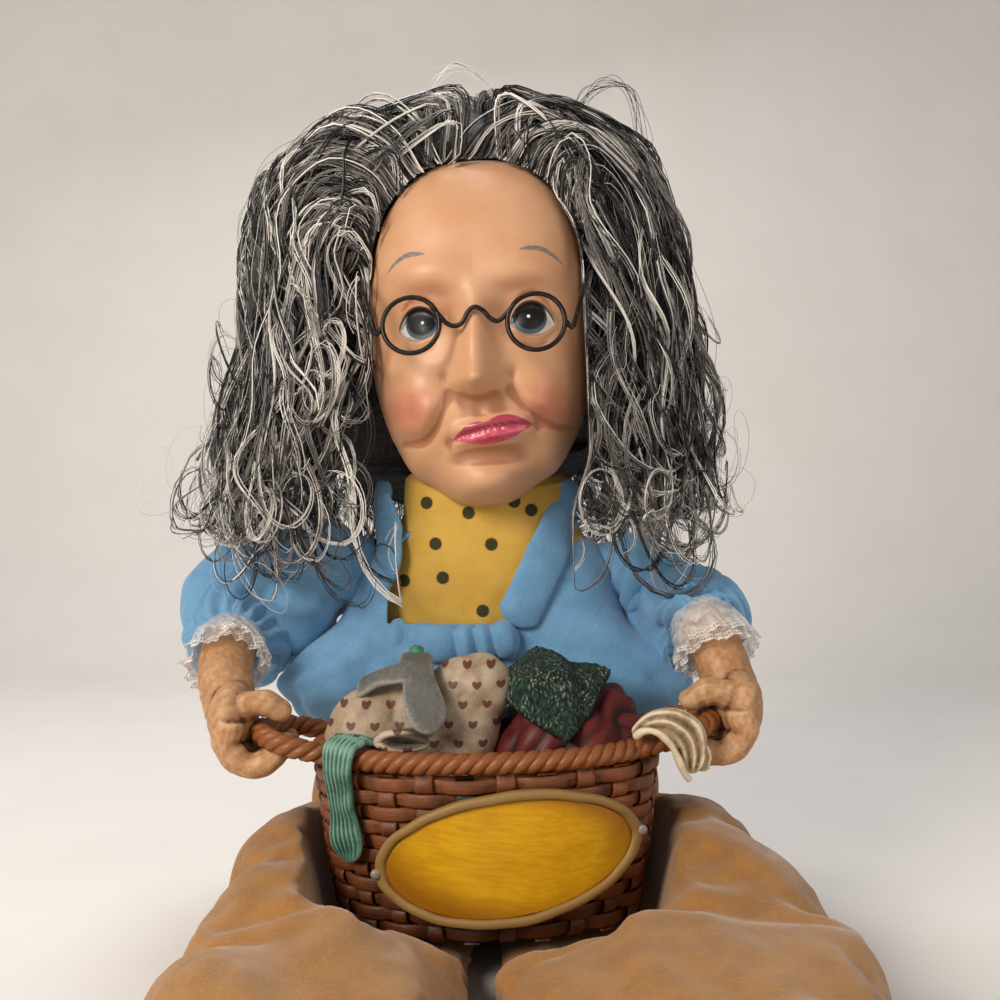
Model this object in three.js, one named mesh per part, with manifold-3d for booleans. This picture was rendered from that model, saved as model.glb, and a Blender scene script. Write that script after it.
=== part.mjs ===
// A sitting cloth and resin doll that holds a laundry basket. Millimetres, +Z up, the doll faces -Y.
// The origin is the middle of its flat seat. Left (+X) and right (-X) are the doll's own.

import * as THREE from "three";
import { mergeVertices } from "three/addons/utils/BufferGeometryUtils.js";
import Module from "manifold-3d";

const wasm = await Module();
wasm.setup();

// Fit
const GAP = 0.4; // between pieces that touch
const SPLIT = 0.5; // between masses of hair, and between the legs
const FAR = 199; // past the part on every side

// Stuffed torso
const BAG_BOTTOM = 25;
const HIP_HEIGHT = 36;
const HIP_HALF_WIDTH = 45;
const HIP_HALF_DEPTH = 29;
const HIP_BACK = 9; // how far the hips sit behind the neck
const CHEST_HALF_WIDTH = 42;
const CHEST_HALF_DEPTH = 21;
const SHOULDER_HEIGHT = 122;
const SHOULDER_DROP = 16; // from the neck's seat down to the shoulder
const NECK_RADIUS = 16;

// Clothes on the torso
const SHIRT_THICKNESS = 1.6;
const SHIRT_HEM = 82;
const COLLAR_HEIGHT = 13;
const COLLAR_THICKNESS = 6;
const TIE_RADIUS = 0.7;
const ROBE_THICKNESS = 3;
const LAPEL_RADIUS = 3.4;
const OPENING_BOTTOM = 104;
const OPENING_RIGHT = 33;
const OPENING_LEFT_LOW = 9;
const OPENING_LEFT_HIGH = 28;
const RUFFLE_RADIUS = 3.6;
const RUFFLE_PUCKERS = 8;

// Trousers and shoes
const SEAT_HALF_WIDTH = 58;
const SEAT_HALF_DEPTH = 38;
const SEAT_HEIGHT = 59;
const SEAT_CLOTH = 3;
const ROBE_HEM = SEAT_HEIGHT + 1;
const PELLET_HEIGHT = 18;
const KNEE_Y = -112;
const KNEE_OUTER_HEIGHT = 40;
const KNEE_INNER_HEIGHT = 32;
const HEM_Y = -200;
const SOLE_Y = -238;
const HEM_HEIGHT = 36;
const SHOE_HALF_WIDTH = 15;
const SHOE_HEIGHT = 48;
const ANKLE_RADIUS = 11;
const FOLD_DEPTH = 0.06; // share of the leg's height
const FOLD_SPACING = 12;
const LEGS = {
  right: { side: -1, hipX: 38, hipHalf: 37, kneeX: 44, kneeHalf: 43, hemX: 46, hemHalf: 34 },
  left: { side: 1, hipX: 42, hipHalf: 41, kneeX: 55, kneeHalf: 53, hemX: 60, hemHalf: 38 },
};

// Head
const HEAD_X = -1;
const HEAD_Y = 2;
const HEAD_Z = SHOULDER_HEIGHT + SHOULDER_DROP + 70;
const HEAD_HALF_WIDTH = 41;
const HEAD_HALF_DEPTH = 47;
const CROWN_HEIGHT = 62; // from the middle of the head
const JAW_HEIGHT = 52;
const CHIN_DROP = 0.17;
const SKULL_POWER = 2.5; // 2 is an ellipsoid, more is squarer
const HEAD_ROLL = -2.5;
const HEAD_YAW = -3;
const CAP_OFFSET = 2.2;
const CAP_THICKNESS = 1.4;

// Spectacles
const LENS_RADIUS = 9.8;
const LENS_SPACING = 40.6;
const LENS_HEIGHT = -3; // from the middle of the head
const WIRE_RADIUS = 0.8;

// Hair
const HAIR_RIDGES = 10;
const HAIR_RIDGE_DEPTH = 0.05;
const HAIR_ENDS = 5; // how unevenly the locks end
const PARTING_HEIGHT = 25;
const FACE_HALF_WIDTH = 37;
const HAIRLINE_HEIGHT = 57;
const SHOULDER_CLEAR_FRONT = 33;
const SHOULDER_CLEAR_BACK = 33;
const SHOULDER_CLEAR_TOP = SHOULDER_HEIGHT + 30;

// Arms and hands
const ARM_RADIUS = 7.5;
const CUFF_FLARE = 4;
const CUFF_THICKNESS = 1.4;
const CUFF_FRILLS = 8;
const CUFF_STEPS = 2;
const FINGER_RADIUS = 3.3;
const FINGER_PITCH = 5.6;
const THUMB_RADIUS = 3.8;
const PALM_HALF = [6.5, 13.5, 10];
const PALM_REACH = 6; // from the handle's outer side to the middle of the palm
const PALM_RISE = 4;
const ARMS = {
  right: { side: -1, sleeve: 22, elbow: [-87, -3, 105], wrist: [-86, -42, 93] },
  left: { side: 1, sleeve: 17, elbow: [68, -6, 108], wrist: [74, -40, 103] },
};

// Basket
const BASKET_X = 2;
const BASKET_Y = -60;
const BASKET_Z = 16.5;
const BASKET_ROLL = -1.5;
const BASKET_HEIGHT = 54;
const RIM_HALF_WIDTH = 54;
const RIM_HALF_DEPTH = 30;
const FOOT_HALF_WIDTH = 46;
const FOOT_HALF_DEPTH = 25;
const BASKET_WALL = 4;
const WEAVE_ROWS = 7;
const WEAVE_STAKES = 20;
const WEAVE_DEPTH = 0.8;
const RIM_ROPE_RADIUS = 3;
const RIM_ROPE_TURNS = 9;
const HANDLE_ROPE_RADIUS = 2.8;
const HANDLE_REACH = 19;
const HANDLE_HALF_SPAN = 14;
const HANDLE_RISE = 6;
const HANDLE_TURNS = 3;

// Plaque on the basket's front
const PLAQUE_HALF_WIDTH = 34.4;
const PLAQUE_HALF_HEIGHT = 16.9;
const PLAQUE_THICKNESS = 2.6;
const PLAQUE_BORDER = 3.6;
const PLAQUE_HEIGHT = BASKET_HEIGHT / 2;
const PLAQUE_SHIFT = 6; // to the left of the basket's middle
const PLAQUE_TILT = 7;
const NAIL_RADIUS = 1.4;
const NAIL_HEIGHT = 1;
const BORDER_PROUD = 1.2; // the border's face in front of the board's

// Laundry. Middles are measured from the middle of the basket's mouth.
const MAROON_HEAP = { middle: [27, 3, -4], radii: [25, 21, 22] };
const TOWEL_HEAP = { middle: [18, 2, 12], radii: [19, 14, 17] };
const CREAM_HEAP = { middle: [-21, 3, 0], radii: [27, 21, 27] };
const SOCK_POINTS = [
  [-9, 4, 29],
  [-14, -9, 25],
  [-20, -18, 12],
];
const SOCK_RADIUS = 6;
const TEAL_SOCK = { angle: 219, drop: 28, width: 13, thickness: 4 };
const CREAM_CLOTH = { angle: 318, lap: 1.9, width: 18, thickness: 5 }; // lap is past the plaque's top

// Small helpers

const vector = (x, y, z) => new THREE.Vector3(x, y, z);
const radians = THREE.MathUtils.degToRad;
const blend = THREE.MathUtils.lerp;
const ease = THREE.MathUtils.smoothstep;

// Sum of bell curves is how the face is formed.
function bell(x, z, atX, atZ, wide, high) {
  return Math.exp(-(((x - atX) / wide) ** 2) - ((z - atZ) / high) ** 2);
}

// A value that runs evenly through a few keys while t goes from 0 to 1.
function through(keys, t) {
  const place = Math.min(Math.max(t, 0), 1) * (keys.length - 1);
  const index = Math.min(Math.floor(place), keys.length - 2);
  return blend(keys[index], keys[index + 1], place - index);
}

// A ring of points, made by a function of the angle.
function ring(count, pointAt) {
  return Array.from({ length: count }, (_, i) => pointAt((2 * Math.PI * i) / count));
}

// A closed surface whose faces point out.
function surface(points, faces) {
  let volume = 0;
  for (let i = 0; i < faces.length; i += 3) {
    const side = points[faces[i + 1]].clone().cross(points[faces[i + 2]]);
    volume += points[faces[i]].dot(side);
  }
  if (volume < 0) faces.reverse();
  const geometry = new THREE.BufferGeometry().setFromPoints(points);
  geometry.setIndex(faces);
  return geometry;
}

// A skin over rings of equal count: capped at both ends, or joined from the last ring to the first.
function loft(rings, joined = false) {
  const count = rings[0].length;
  const points = rings.flat();
  const faces = [];
  const spans = joined ? rings.length : rings.length - 1;
  for (let i = 0; i < spans; i++) {
    const here = i * count;
    const there = ((i + 1) % rings.length) * count;
    for (let j = 0; j < count; j++) {
      const k = (j + 1) % count;
      faces.push(here + j, here + k, there + j, here + k, there + k, there + j);
    }
  }
  if (joined) return surface(points, faces);
  for (const start of [0, (rings.length - 1) * count]) {
    const middle = points.length;
    const sum = vector(0, 0, 0);
    points.slice(start, start + count).forEach((point) => sum.add(point));
    points.push(sum.divideScalar(count));
    for (let j = 0; j < count; j++) {
      const k = (j + 1) % count;
      if (start === 0) faces.push(middle, k, j);
      else faces.push(middle, start + j, start + k);
    }
  }
  return surface(points, faces);
}

// A section carried along a curve.
function sweep(curve, steps, sectionAt, joined = false) {
  const frames = curve.computeFrenetFrames(steps, joined);
  const rings = [];
  for (let i = 0; i < (joined ? steps : steps + 1); i++) {
    const at = curve.getPointAt(i / steps);
    rings.push(
      sectionAt(i / steps).map(([u, v]) =>
        at.clone().addScaledVector(frames.normals[i], u).addScaledVector(frames.binormals[i], v),
      ),
    );
  }
  return loft(rings, joined);
}

// A flat strip along points, with its width in one fixed direction.
function strip(points, across, width, thickness) {
  const rings = points.map((at, i) => {
    const before = points[Math.max(i - 1, 0)];
    const after = points[Math.min(i + 1, points.length - 1)];
    const outward = after.clone().sub(before).cross(across).normalize();
    return ring(8, (a) =>
      at
        .clone()
        .addScaledVector(across, (width / 2) * Math.cos(a))
        .addScaledVector(outward, (thickness / 2) * Math.sin(a)),
    );
  });
  return loft(rings);
}

const round = (radius, sides) => ring(sides, (a) => [radius * Math.cos(a), radius * Math.sin(a)]);

// A three-strand rope's section, turned as the strands wind.
function strands(radius, turn) {
  return ring(6, (a) => {
    const lobe = radius * (1 + 0.14 * Math.cos(3 * a));
    return [lobe * Math.cos(a + turn), lobe * Math.sin(a + turn)];
  });
}

const pathThrough = (points) => new THREE.CatmullRomCurve3(points, false, "centripetal");

// A lumpy ball: its radius in a direction is multiplied by shape(direction).
function lump(centre, radii, shape, around = 16, levels = 10) {
  const ball = new THREE.SphereGeometry(1, around, levels);
  ball.deleteAttribute("normal");
  ball.deleteAttribute("uv");
  const geometry = mergeVertices(ball);
  const spots = geometry.getAttribute("position");
  for (let i = 0; i < spots.count; i++) {
    const direction = vector(0, 0, 0).fromBufferAttribute(spots, i);
    const swell = shape(direction);
    const at = direction.multiply(radii).multiplyScalar(swell).add(centre);
    spots.setXYZ(i, at.x, at.y, at.z);
  }
  return geometry;
}

// Joining and cutting closed surfaces

function solid(geometry) {
  const bare = geometry.clone();
  bare.deleteAttribute("normal");
  bare.deleteAttribute("uv");
  const merged = mergeVertices(bare);
  return new wasm.Manifold(
    new wasm.Mesh({
      numProp: 3,
      vertProperties: merged.getAttribute("position").array,
      triVerts: new Uint32Array(merged.index.array),
    }),
  );
}

function geometryOf(body) {
  const mesh = body.getMesh();
  const geometry = new THREE.BufferGeometry();
  geometry.setAttribute("position", new THREE.BufferAttribute(mesh.vertProperties, 3));
  geometry.setIndex(new THREE.BufferAttribute(mesh.triVerts, 1));
  return geometry;
}

function combine(operation, first, others) {
  return geometryOf(others.reduce((body, other) => body[operation](solid(other)), solid(first)));
}

const join = (first, ...others) => combine("add", first, others);
const cut = (first, ...tools) => combine("subtract", first, tools);
const common = (first, ...others) => combine("intersect", first, others);

// A box between two corners.
function block(low, high) {
  const size = high.clone().sub(low);
  const middle = low.clone().add(high).multiplyScalar(0.5);
  return new THREE.BoxGeometry(size.x, size.y, size.z).translate(middle.x, middle.y, middle.z);
}

// Materials

const finish = (color, roughness, metalness = 0) =>
  new THREE.MeshStandardMaterial({ color, roughness, metalness });

const SKIN = finish(0xd7a67c, 0.45);
const HAND_RESIN = finish(0xb67a45, 0.55);
const MUSLIN = finish(0xe2d5bb, 0.95);
const KNIT = finish(0xd8ad2e, 0.95);
const FLANNEL = finish(0x5f93c6, 0.95);
const TROUSER_CLOTH = finish(0xcb9c5f, 0.95);
const LACE = finish(0xf1efe9, 0.9);
const HAIR = finish(0x47474a, 0.5);
const WIRE = finish(0x1f1a17, 0.35, 0.6);
const WICKER = finish(0x7b4122, 0.6);
const ROPE = finish(0x935026, 0.6);
const PLAQUE_PAINT = finish(0xe0aa16, 0.5);
const BORDER_WOOD = finish(0x8a5a2b, 0.6);
const NAIL_STEEL = finish(0x6c6a66, 0.4, 0.8);
const CREAM = finish(0xd9cfb4, 0.7);
const GREY = finish(0x8d959a, 0.7);
const GREEN = finish(0x21503c, 0.8);
const MAROON = finish(0x5b1b22, 0.7);
const TEAL = finish(0x33745d, 0.7);
const SHOE_RESIN = finish(0x4b3122, 0.5);

const doll = new THREE.Group();
const torso = new THREE.Group();
const head = new THREE.Group();
head.position.set(HEAD_X, HEAD_Y, HEAD_Z);
const arms = new THREE.Group();
doll.add(torso, head, arms);

function piece(group, name, geometry, material) {
  const mesh = new THREE.Mesh(geometry, material);
  mesh.name = name;
  group.add(mesh);
  return mesh;
}

// Torso: every layer of clothes follows the stuffed body, a little further out

const NECK_SEAT = SHOULDER_HEIGHT + SHOULDER_DROP;
const SHIRT_INNER = 1.5 * GAP;
const SHIRT_OUTER = SHIRT_INNER + SHIRT_THICKNESS;
const ROBE_INNER = SHIRT_OUTER + 1.5 * GAP;
const ROBE_OUTER = ROBE_INNER + ROBE_THICKNESS;
const TORSO_AROUND = 20;

// Height, half width, half depth and middle of each section.
const TORSO_SECTIONS = [
  [BAG_BOTTOM, 0.76 * HIP_HALF_WIDTH, 0.76 * HIP_HALF_DEPTH, HIP_BACK],
  [HIP_HEIGHT, HIP_HALF_WIDTH, HIP_HALF_DEPTH, HIP_BACK],
  [ROBE_HEM, CHEST_HALF_WIDTH, blend(CHEST_HALF_DEPTH, HIP_HALF_DEPTH, 0.6), 0.6 * HIP_BACK],
  [SHIRT_HEM, CHEST_HALF_WIDTH, blend(CHEST_HALF_DEPTH, HIP_HALF_DEPTH, 0.3), 0.3 * HIP_BACK],
  [SHOULDER_HEIGHT, CHEST_HALF_WIDTH, CHEST_HALF_DEPTH, 0],
  [SHOULDER_HEIGHT + 0.6 * SHOULDER_DROP, 0.84 * CHEST_HALF_WIDTH, 0.93 * CHEST_HALF_DEPTH, 0],
  [NECK_SEAT, NECK_RADIUS + 8, NECK_RADIUS + 2, 0],
];

function torsoSection(z) {
  const last = TORSO_SECTIONS.length - 1;
  let i = 0;
  while (i < last - 1 && TORSO_SECTIONS[i + 1][0] < z) i++;
  const [low, high] = [TORSO_SECTIONS[i], TORSO_SECTIONS[i + 1]];
  const t = Math.min(Math.max((z - low[0]) / (high[0] - low[0]), 0), 1);
  return low.map((value, k) => blend(value, high[k], t));
}

function torsoRing(z, offset) {
  const [, halfWidth, halfDepth, middle] = torsoSection(z);
  return ring(TORSO_AROUND, (a) =>
    vector((halfWidth + offset) * Math.cos(a), middle + (halfDepth + offset) * Math.sin(a), z),
  );
}

// The front of a layer at a place across the chest.
function chestFront(x, z, offset) {
  const [, halfWidth, halfDepth, middle] = torsoSection(z);
  const share = Math.min(Math.abs(x) / (halfWidth + offset), 0.98);
  return middle - (halfDepth + offset) * Math.sqrt(1 - share * share);
}

// A tube of cloth round the torso from a hem up to the neck.
function garment(hem, inner, outer) {
  const heights = TORSO_SECTIONS.map((section) => section[0]).filter((z) => z >= hem);
  const outside = heights.map((z) => torsoRing(z, outer));
  const inside = heights.map((z) => torsoRing(z, inner)).reverse();
  return loft([...outside, ...inside], true);
}

piece(torso, "body_bag", loft(TORSO_SECTIONS.map((section) => torsoRing(section[0], 0))), MUSLIN);
piece(torso, "shirt_top", garment(SHIRT_HEM, SHIRT_INNER, SHIRT_OUTER), KNIT);

// Turtleneck: a folded ring that stands on the shirt's top round the neck.
const COLLAR_BOTTOM = NECK_SEAT + GAP;
const COLLAR_INNER = NECK_RADIUS + 2 * TIE_RADIUS + 2 * GAP;
const COLLAR_PROFILE = [
  [COLLAR_INNER, 0],
  [COLLAR_INNER + 0.8 * COLLAR_THICKNESS, 0],
  [COLLAR_INNER + COLLAR_THICKNESS, 0.4 * COLLAR_HEIGHT],
  [COLLAR_INNER + 0.8 * COLLAR_THICKNESS, 0.85 * COLLAR_HEIGHT],
  [COLLAR_INNER + 0.4 * COLLAR_THICKNESS, COLLAR_HEIGHT],
  [COLLAR_INNER, 0.85 * COLLAR_HEIGHT],
];
const collarRings = COLLAR_PROFILE.map(([radius, rise]) =>
  ring(TORSO_AROUND, (a) => vector(radius * Math.cos(a), radius * Math.sin(a), COLLAR_BOTTOM + rise)),
);
piece(torso, "shirt_collar", loft(collarRings, true), KNIT);

const tie = new THREE.TorusGeometry(NECK_RADIUS + GAP + TIE_RADIUS, TIE_RADIUS, 5, 16);
piece(torso, "neck_tie", tie, MUSLIN).position.z = COLLAR_BOTTOM + TIE_RADIUS;

// Robe: its front is open from the neck down to a gathered edge.
const openingOutline = new THREE.Shape();
openingOutline.moveTo(-OPENING_RIGHT, OPENING_BOTTOM);
openingOutline.lineTo(OPENING_LEFT_LOW, OPENING_BOTTOM);
openingOutline.lineTo(OPENING_LEFT_HIGH, SHOULDER_HEIGHT + SHOULDER_DROP / 2);
openingOutline.lineTo(OPENING_LEFT_HIGH, NECK_SEAT + SHOULDER_DROP);
openingOutline.lineTo(-OPENING_RIGHT, NECK_SEAT + SHOULDER_DROP);
const opening = new THREE.ExtrudeGeometry(openingOutline, {
  depth: 3 * CHEST_HALF_DEPTH,
  bevelEnabled: false,
});
opening.rotateX(Math.PI / 2);
piece(torso, "robe_bodice", cut(garment(ROBE_HEM, ROBE_INNER, ROBE_OUTER), opening), FLANNEL);

// Rolled lapels lie on the robe beside the opening.
const LAPEL_OFFSET = ROBE_OUTER + LAPEL_RADIUS + 2 * GAP;
const LAPEL_TOP = SHOULDER_HEIGHT + 0.6 * SHOULDER_DROP;

function lapel(lowX, highX) {
  const low = OPENING_BOTTOM + RUFFLE_RADIUS;
  const places = [
    [lowX, low],
    [blend(lowX, highX, 0.5), blend(low, LAPEL_TOP, 0.5)],
    [highX, LAPEL_TOP],
  ];
  const path = pathThrough(places.map(([x, z]) => vector(x, chestFront(x, z, LAPEL_OFFSET), z)));
  return sweep(path, 6, () => round(LAPEL_RADIUS, 8));
}

piece(torso, "robe_lapel_right", lapel(-OPENING_RIGHT - 2, -OPENING_RIGHT), FLANNEL);
piece(torso, "robe_lapel_left", lapel(OPENING_LEFT_LOW + 3, OPENING_LEFT_HIGH + 2), FLANNEL);

// The gathered edge under the opening puckers evenly along its length.
const RUFFLE_SWELL = 0.12;
const RUFFLE_Z = OPENING_BOTTOM - RUFFLE_RADIUS * (1 + RUFFLE_SWELL) - LAPEL_RADIUS;
const ruffleSpots = [0, 0.25, 0.5, 0.75, 1].map((t) => {
  const x = blend(-OPENING_RIGHT - 3, OPENING_LEFT_LOW + 9, t);
  const y = chestFront(x, RUFFLE_Z, ROBE_OUTER + RUFFLE_RADIUS * (1 + RUFFLE_SWELL) + 1.5 * GAP);
  return vector(x, y, RUFFLE_Z);
});
const ruffle = sweep(pathThrough(ruffleSpots), 2 * RUFFLE_PUCKERS, (t) =>
  round(RUFFLE_RADIUS * (1 + RUFFLE_SWELL * Math.cos(2 * Math.PI * RUFFLE_PUCKERS * t)), 6),
);
piece(torso, "robe_front_ruffle", ruffle, FLANNEL);

// Trousers: a cloth cup that holds the pellet bag and the torso, and two stuffed thighs

const CUP_AROUND = 24;

function seatRing(z, inset) {
  const belly = 1 - 0.1 * (1 - z / SEAT_HEIGHT) ** 2 - 0.08 * (z / SEAT_HEIGHT) ** 2;
  return ring(CUP_AROUND, (a) =>
    vector(
      (SEAT_HALF_WIDTH * belly - inset) * Math.cos(a),
      HIP_BACK + (SEAT_HALF_DEPTH * belly - inset) * Math.sin(a),
      z,
    ),
  );
}

const CUP_LEVELS = [0, 0.2, 0.55, 1].map((t) => t * SEAT_HEIGHT);
const cupInside = CUP_LEVELS.slice(1).reverse();
const seatCup = loft([
  ...CUP_LEVELS.map((z) => seatRing(z, 0)),
  ...cupInside.map((z) => seatRing(z, SEAT_CLOTH)),
  seatRing(SEAT_CLOTH, SEAT_CLOTH),
]);
piece(torso, "trouser_seat", seatCup, TROUSER_CLOTH);

const PELLET_BOTTOM = SEAT_CLOTH + GAP;
const pelletTop = Math.min(PELLET_BOTTOM + PELLET_HEIGHT, BAG_BOTTOM - GAP);
const pelletRings = [0, 0.3, 0.7, 1].map((t) =>
  seatRing(blend(PELLET_BOTTOM, pelletTop, t), SEAT_CLOTH + GAP + 9 * (2 * t - 0.9) ** 2),
);
piece(torso, "pellet_bag", loft(pelletRings), MUSLIN);

const seatClearance = loft(CUP_LEVELS.map((z) => seatRing(z, -GAP)));

// A leg's section: flat below, low beside the other leg and high on its outer side, with soft folds.
function legRing(side, y, middle, half, outerHeight, innerHeight) {
  return ring(20, (a) => {
    const out = Math.cos(a);
    const up = Math.sin(a);
    const fold = 1 + FOLD_DEPTH * Math.sin(4 * a + y / FOLD_SPACING);
    const height = fold * blend(innerHeight, outerHeight, ease(out, 0.25, 0.65));
    const rise = up > 0 ? 0.42 + 0.58 * up ** 0.6 : 0.42 * Math.max(0, 1 + 1.4 * up);
    return vector(side * (middle + half * out), y, height * rise);
  });
}

// The thighs pass under the basket, so they are flat there and rise again in front of it.
const THIGH_Y = [5, -26, -45, -65, -85, -97, KNEE_Y];
const THIGH_OUTER = [40, 46, 50, 49, 45, 42, KNEE_OUTER_HEIGHT];
const UNDER_BASKET =
  (BASKET_Z + FOOT_HALF_WIDTH * Math.sin(radians(BASKET_ROLL)) - GAP) / (1 + FOLD_DEPTH);
const THIGH_INNER = [30, UNDER_BASKET, UNDER_BASKET, UNDER_BASKET, UNDER_BASKET, 22, KNEE_INNER_HEIGHT];

for (const [name, leg] of Object.entries(LEGS)) {
  const thighRings = THIGH_Y.map((y, i) => {
    const t = y / KNEE_Y;
    const middle = blend(leg.hipX, leg.kneeX, t);
    const half = blend(leg.hipHalf, leg.kneeHalf, t) - SPLIT;
    return legRing(leg.side, y, middle, half, THIGH_OUTER[i], THIGH_INNER[i]);
  });
  piece(torso, "trouser_thigh_" + name, cut(loft(thighRings), seatClearance), TROUSER_CLOTH);

  // The lower leg hinges on the thigh's bottom front edge, so its group sits there.
  const lower = new THREE.Group();
  lower.position.set(0, KNEE_Y - GAP, 0);
  doll.add(lower);
  const length = KNEE_Y - GAP - HEM_Y;
  const lowerRings = [0, 0.15, 0.5, 0.85, 1].map((t) => {
    const middle = blend(leg.kneeX, leg.hemX, t);
    const half = blend(leg.kneeHalf, leg.hemHalf, t) - SPLIT;
    const puff = 1 + 0.05 * Math.sin(Math.PI * t);
    const outer = puff * blend(KNEE_OUTER_HEIGHT, HEM_HEIGHT, t);
    const inner = puff * blend(KNEE_INNER_HEIGHT, HEM_HEIGHT, t);
    return legRing(leg.side, -length * t, middle, half, outer, inner);
  });
  piece(lower, "trouser_leg_" + name, loft(lowerRings), TROUSER_CLOTH);

  // Shoe: toes up, heel on the floor, ankle seated against the stuffed hem.
  const shoeDepth = (HEM_Y - SOLE_Y) * 0.45;
  const sole = -length - GAP - (HEM_Y - SOLE_Y);
  const shoeX = leg.side * leg.hemX;
  const upper = lump(
    vector(shoeX, sole + shoeDepth, SHOE_HEIGHT / 2),
    vector(SHOE_HALF_WIDTH, shoeDepth, SHOE_HEIGHT / 2),
    (d) => 1 + 0.08 * d.z * -d.y,
    12,
    8,
  );
  const floor = block(vector(-FAR, -FAR, -FAR), vector(FAR, FAR, 0));
  const ankleStart = vector(shoeX, -length - GAP, ANKLE_RADIUS + 3);
  const ankleEnd = vector(shoeX, sole + shoeDepth, ANKLE_RADIUS + 3);
  const ankle = sweep(new THREE.LineCurve3(ankleStart, ankleEnd), 2, () => round(ANKLE_RADIUS, 10));
  piece(lower, "shoe_" + name, cut(join(upper, ankle), floor), SHOE_RESIN);
}

// Head: a squared-off egg with the face raised and sunk by bell curves

function faceRelief(x, z) {
  const far = Math.abs(x);
  const noseLength = ease(z, -34, -20) * (1 - ease(z, -19, 16));
  const noseWidth = blend(4, 7.5, 1 - ease(z, -22, 8));
  let out = 13.5 * noseLength * Math.exp(-((x / noseWidth) ** 2));
  out += 4.5 * bell(far, z, 7.8, -24, 3.4, 3.6); // nostril wings
  out += 1.6 * bell(far, z, 18, 20, 13, 6); // brow
  out -= 5.5 * bell(far, z, 18.5, 0, 10, 8); // eye socket
  out += 4.6 * bell(far, z, 18.5, -1, 7, 5.5); // eyeball and lids
  out += 4.5 * bell(far, z, 24, -28, 11, 11); // cheek
  out += 3 * bell(far, z, 25, -46, 9, 9); // jowl
  out -= 2 * bell(far, z, 15 + (-34 - z) * 0.55, -34, 3, 11); // fold beside the mouth
  out += 5 * bell(x, z, 0, -38, 16, 11); // mouth's swell
  out += 2.8 * bell(x, z, 1, -35.5, 11, 2.6); // upper lip
  out += 3 * bell(x, z, 1, -41.5, 9, 2.8); // lower lip
  out += 12 * bell(x, z, 0, -56, 14, 9); // chin
  return out;
}

// A point of the head in a direction, grown by an offset. Only the front carries the face.
function headPoint(turn, away, offset, withFace) {
  const d = vector(Math.sin(away) * Math.cos(turn), -Math.cos(away), Math.sin(away) * Math.sin(turn));
  const half = vector(HEAD_HALF_WIDTH, HEAD_HALF_DEPTH, d.z > 0 ? CROWN_HEIGHT : JAW_HEIGHT);
  const size = [d.x / half.x, d.y / half.y, d.z / half.z]
    .map((share) => Math.abs(share) ** SKULL_POWER)
    .reduce((sum, share) => sum + share);
  const point = d.clone().multiplyScalar(size ** (-1 / SKULL_POWER) + offset);
  const front = ease(-d.y, 0.05, 0.45);
  point.z *= 1 + CHIN_DROP * front * ease(-point.z, 10, 40);
  if (withFace) point.y -= front * faceRelief(point.x, point.z);
  return point;
}

function headSurface(around, aways, offset, withFace) {
  return loft(aways.map((away) => ring(around, (turn) => headPoint(turn, away, offset, withFace))));
}

const headTilt = new THREE.Matrix4().makeRotationFromEuler(
  new THREE.Euler(0, radians(HEAD_ROLL), radians(HEAD_YAW)),
);
const frontAngles = Array.from({ length: 13 }, (_, i) => radians(3 + 6 * i));
const backAngles = [88, 103, 119, 135, 151, 167].map(radians);
const skull = headSurface(38, [...frontAngles, ...backAngles], 0, true).applyMatrix4(headTilt);

// The neck stands upright on the torso's top.
const neckFoot = NECK_SEAT + GAP - HEAD_Z;
const neckLength = -0.75 * JAW_HEIGHT - neckFoot;
const neck = new THREE.CylinderGeometry(NECK_RADIUS, NECK_RADIUS, neckLength, 24)
  .rotateX(Math.PI / 2)
  .translate(-HEAD_X, -HEAD_Y, neckFoot + neckLength / 2);
piece(head, "head_shell", join(skull, neck), SKIN);

// Hair: one wavy mass round the head, cut free of the face and shoulders, then parted into locks

const COARSE_ANGLES = Array.from({ length: 11 }, (_, i) => radians(8 + 16.4 * i));
const coarseHead = (offset) => headSurface(20, COARSE_ANGLES, offset, false).applyMatrix4(headTilt);

// The face shows through an arch that ends above the forehead.
const faceOutline = new THREE.Shape();
faceOutline.moveTo(-FACE_HALF_WIDTH, -HEAD_Z);
faceOutline.lineTo(FACE_HALF_WIDTH, -HEAD_Z);
faceOutline.lineTo(FACE_HALF_WIDTH, HAIRLINE_HEIGHT - FACE_HALF_WIDTH);
faceOutline.absarc(0, HAIRLINE_HEIGHT - FACE_HALF_WIDTH, FACE_HALF_WIDTH, 0, Math.PI);
const faceWindow = new THREE.ExtrudeGeometry(faceOutline, {
  depth: FAR,
  bevelEnabled: false,
  curveSegments: 8,
})
  .rotateX(Math.PI / 2)
  .translate(0, -0.15 * HEAD_HALF_DEPTH, 0)
  .applyMatrix4(headTilt);

const nape = block(vector(-FAR, -FAR, -FAR), vector(FAR, FAR, -0.5 * JAW_HEIGHT));
const cap = cut(coarseHead(CAP_OFFSET + CAP_THICKNESS), coarseHead(CAP_OFFSET), faceWindow, nape);
piece(head, "wig_cap", cap, HAIR);

// Height, right edge, left edge, front and back of the mass of hair, from the middle of the head.
const HAIR_SECTIONS = [
  [-97, -94, 84, -56, 46],
  [-74, -110, 92, -58, 54],
  [-56, -117, 94, -58, 58],
  [-30, -110, 92, -54, 60],
  [-5, -98, 86, -48, 60],
  [20, -92, 79, -44, 59],
  [45, -90, 74, -42, 57],
  [66, -79, 63, -38, 50],
  [80, -56, 50, -26, 38],
  [89, -22, 14, -8, 18],
];

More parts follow.
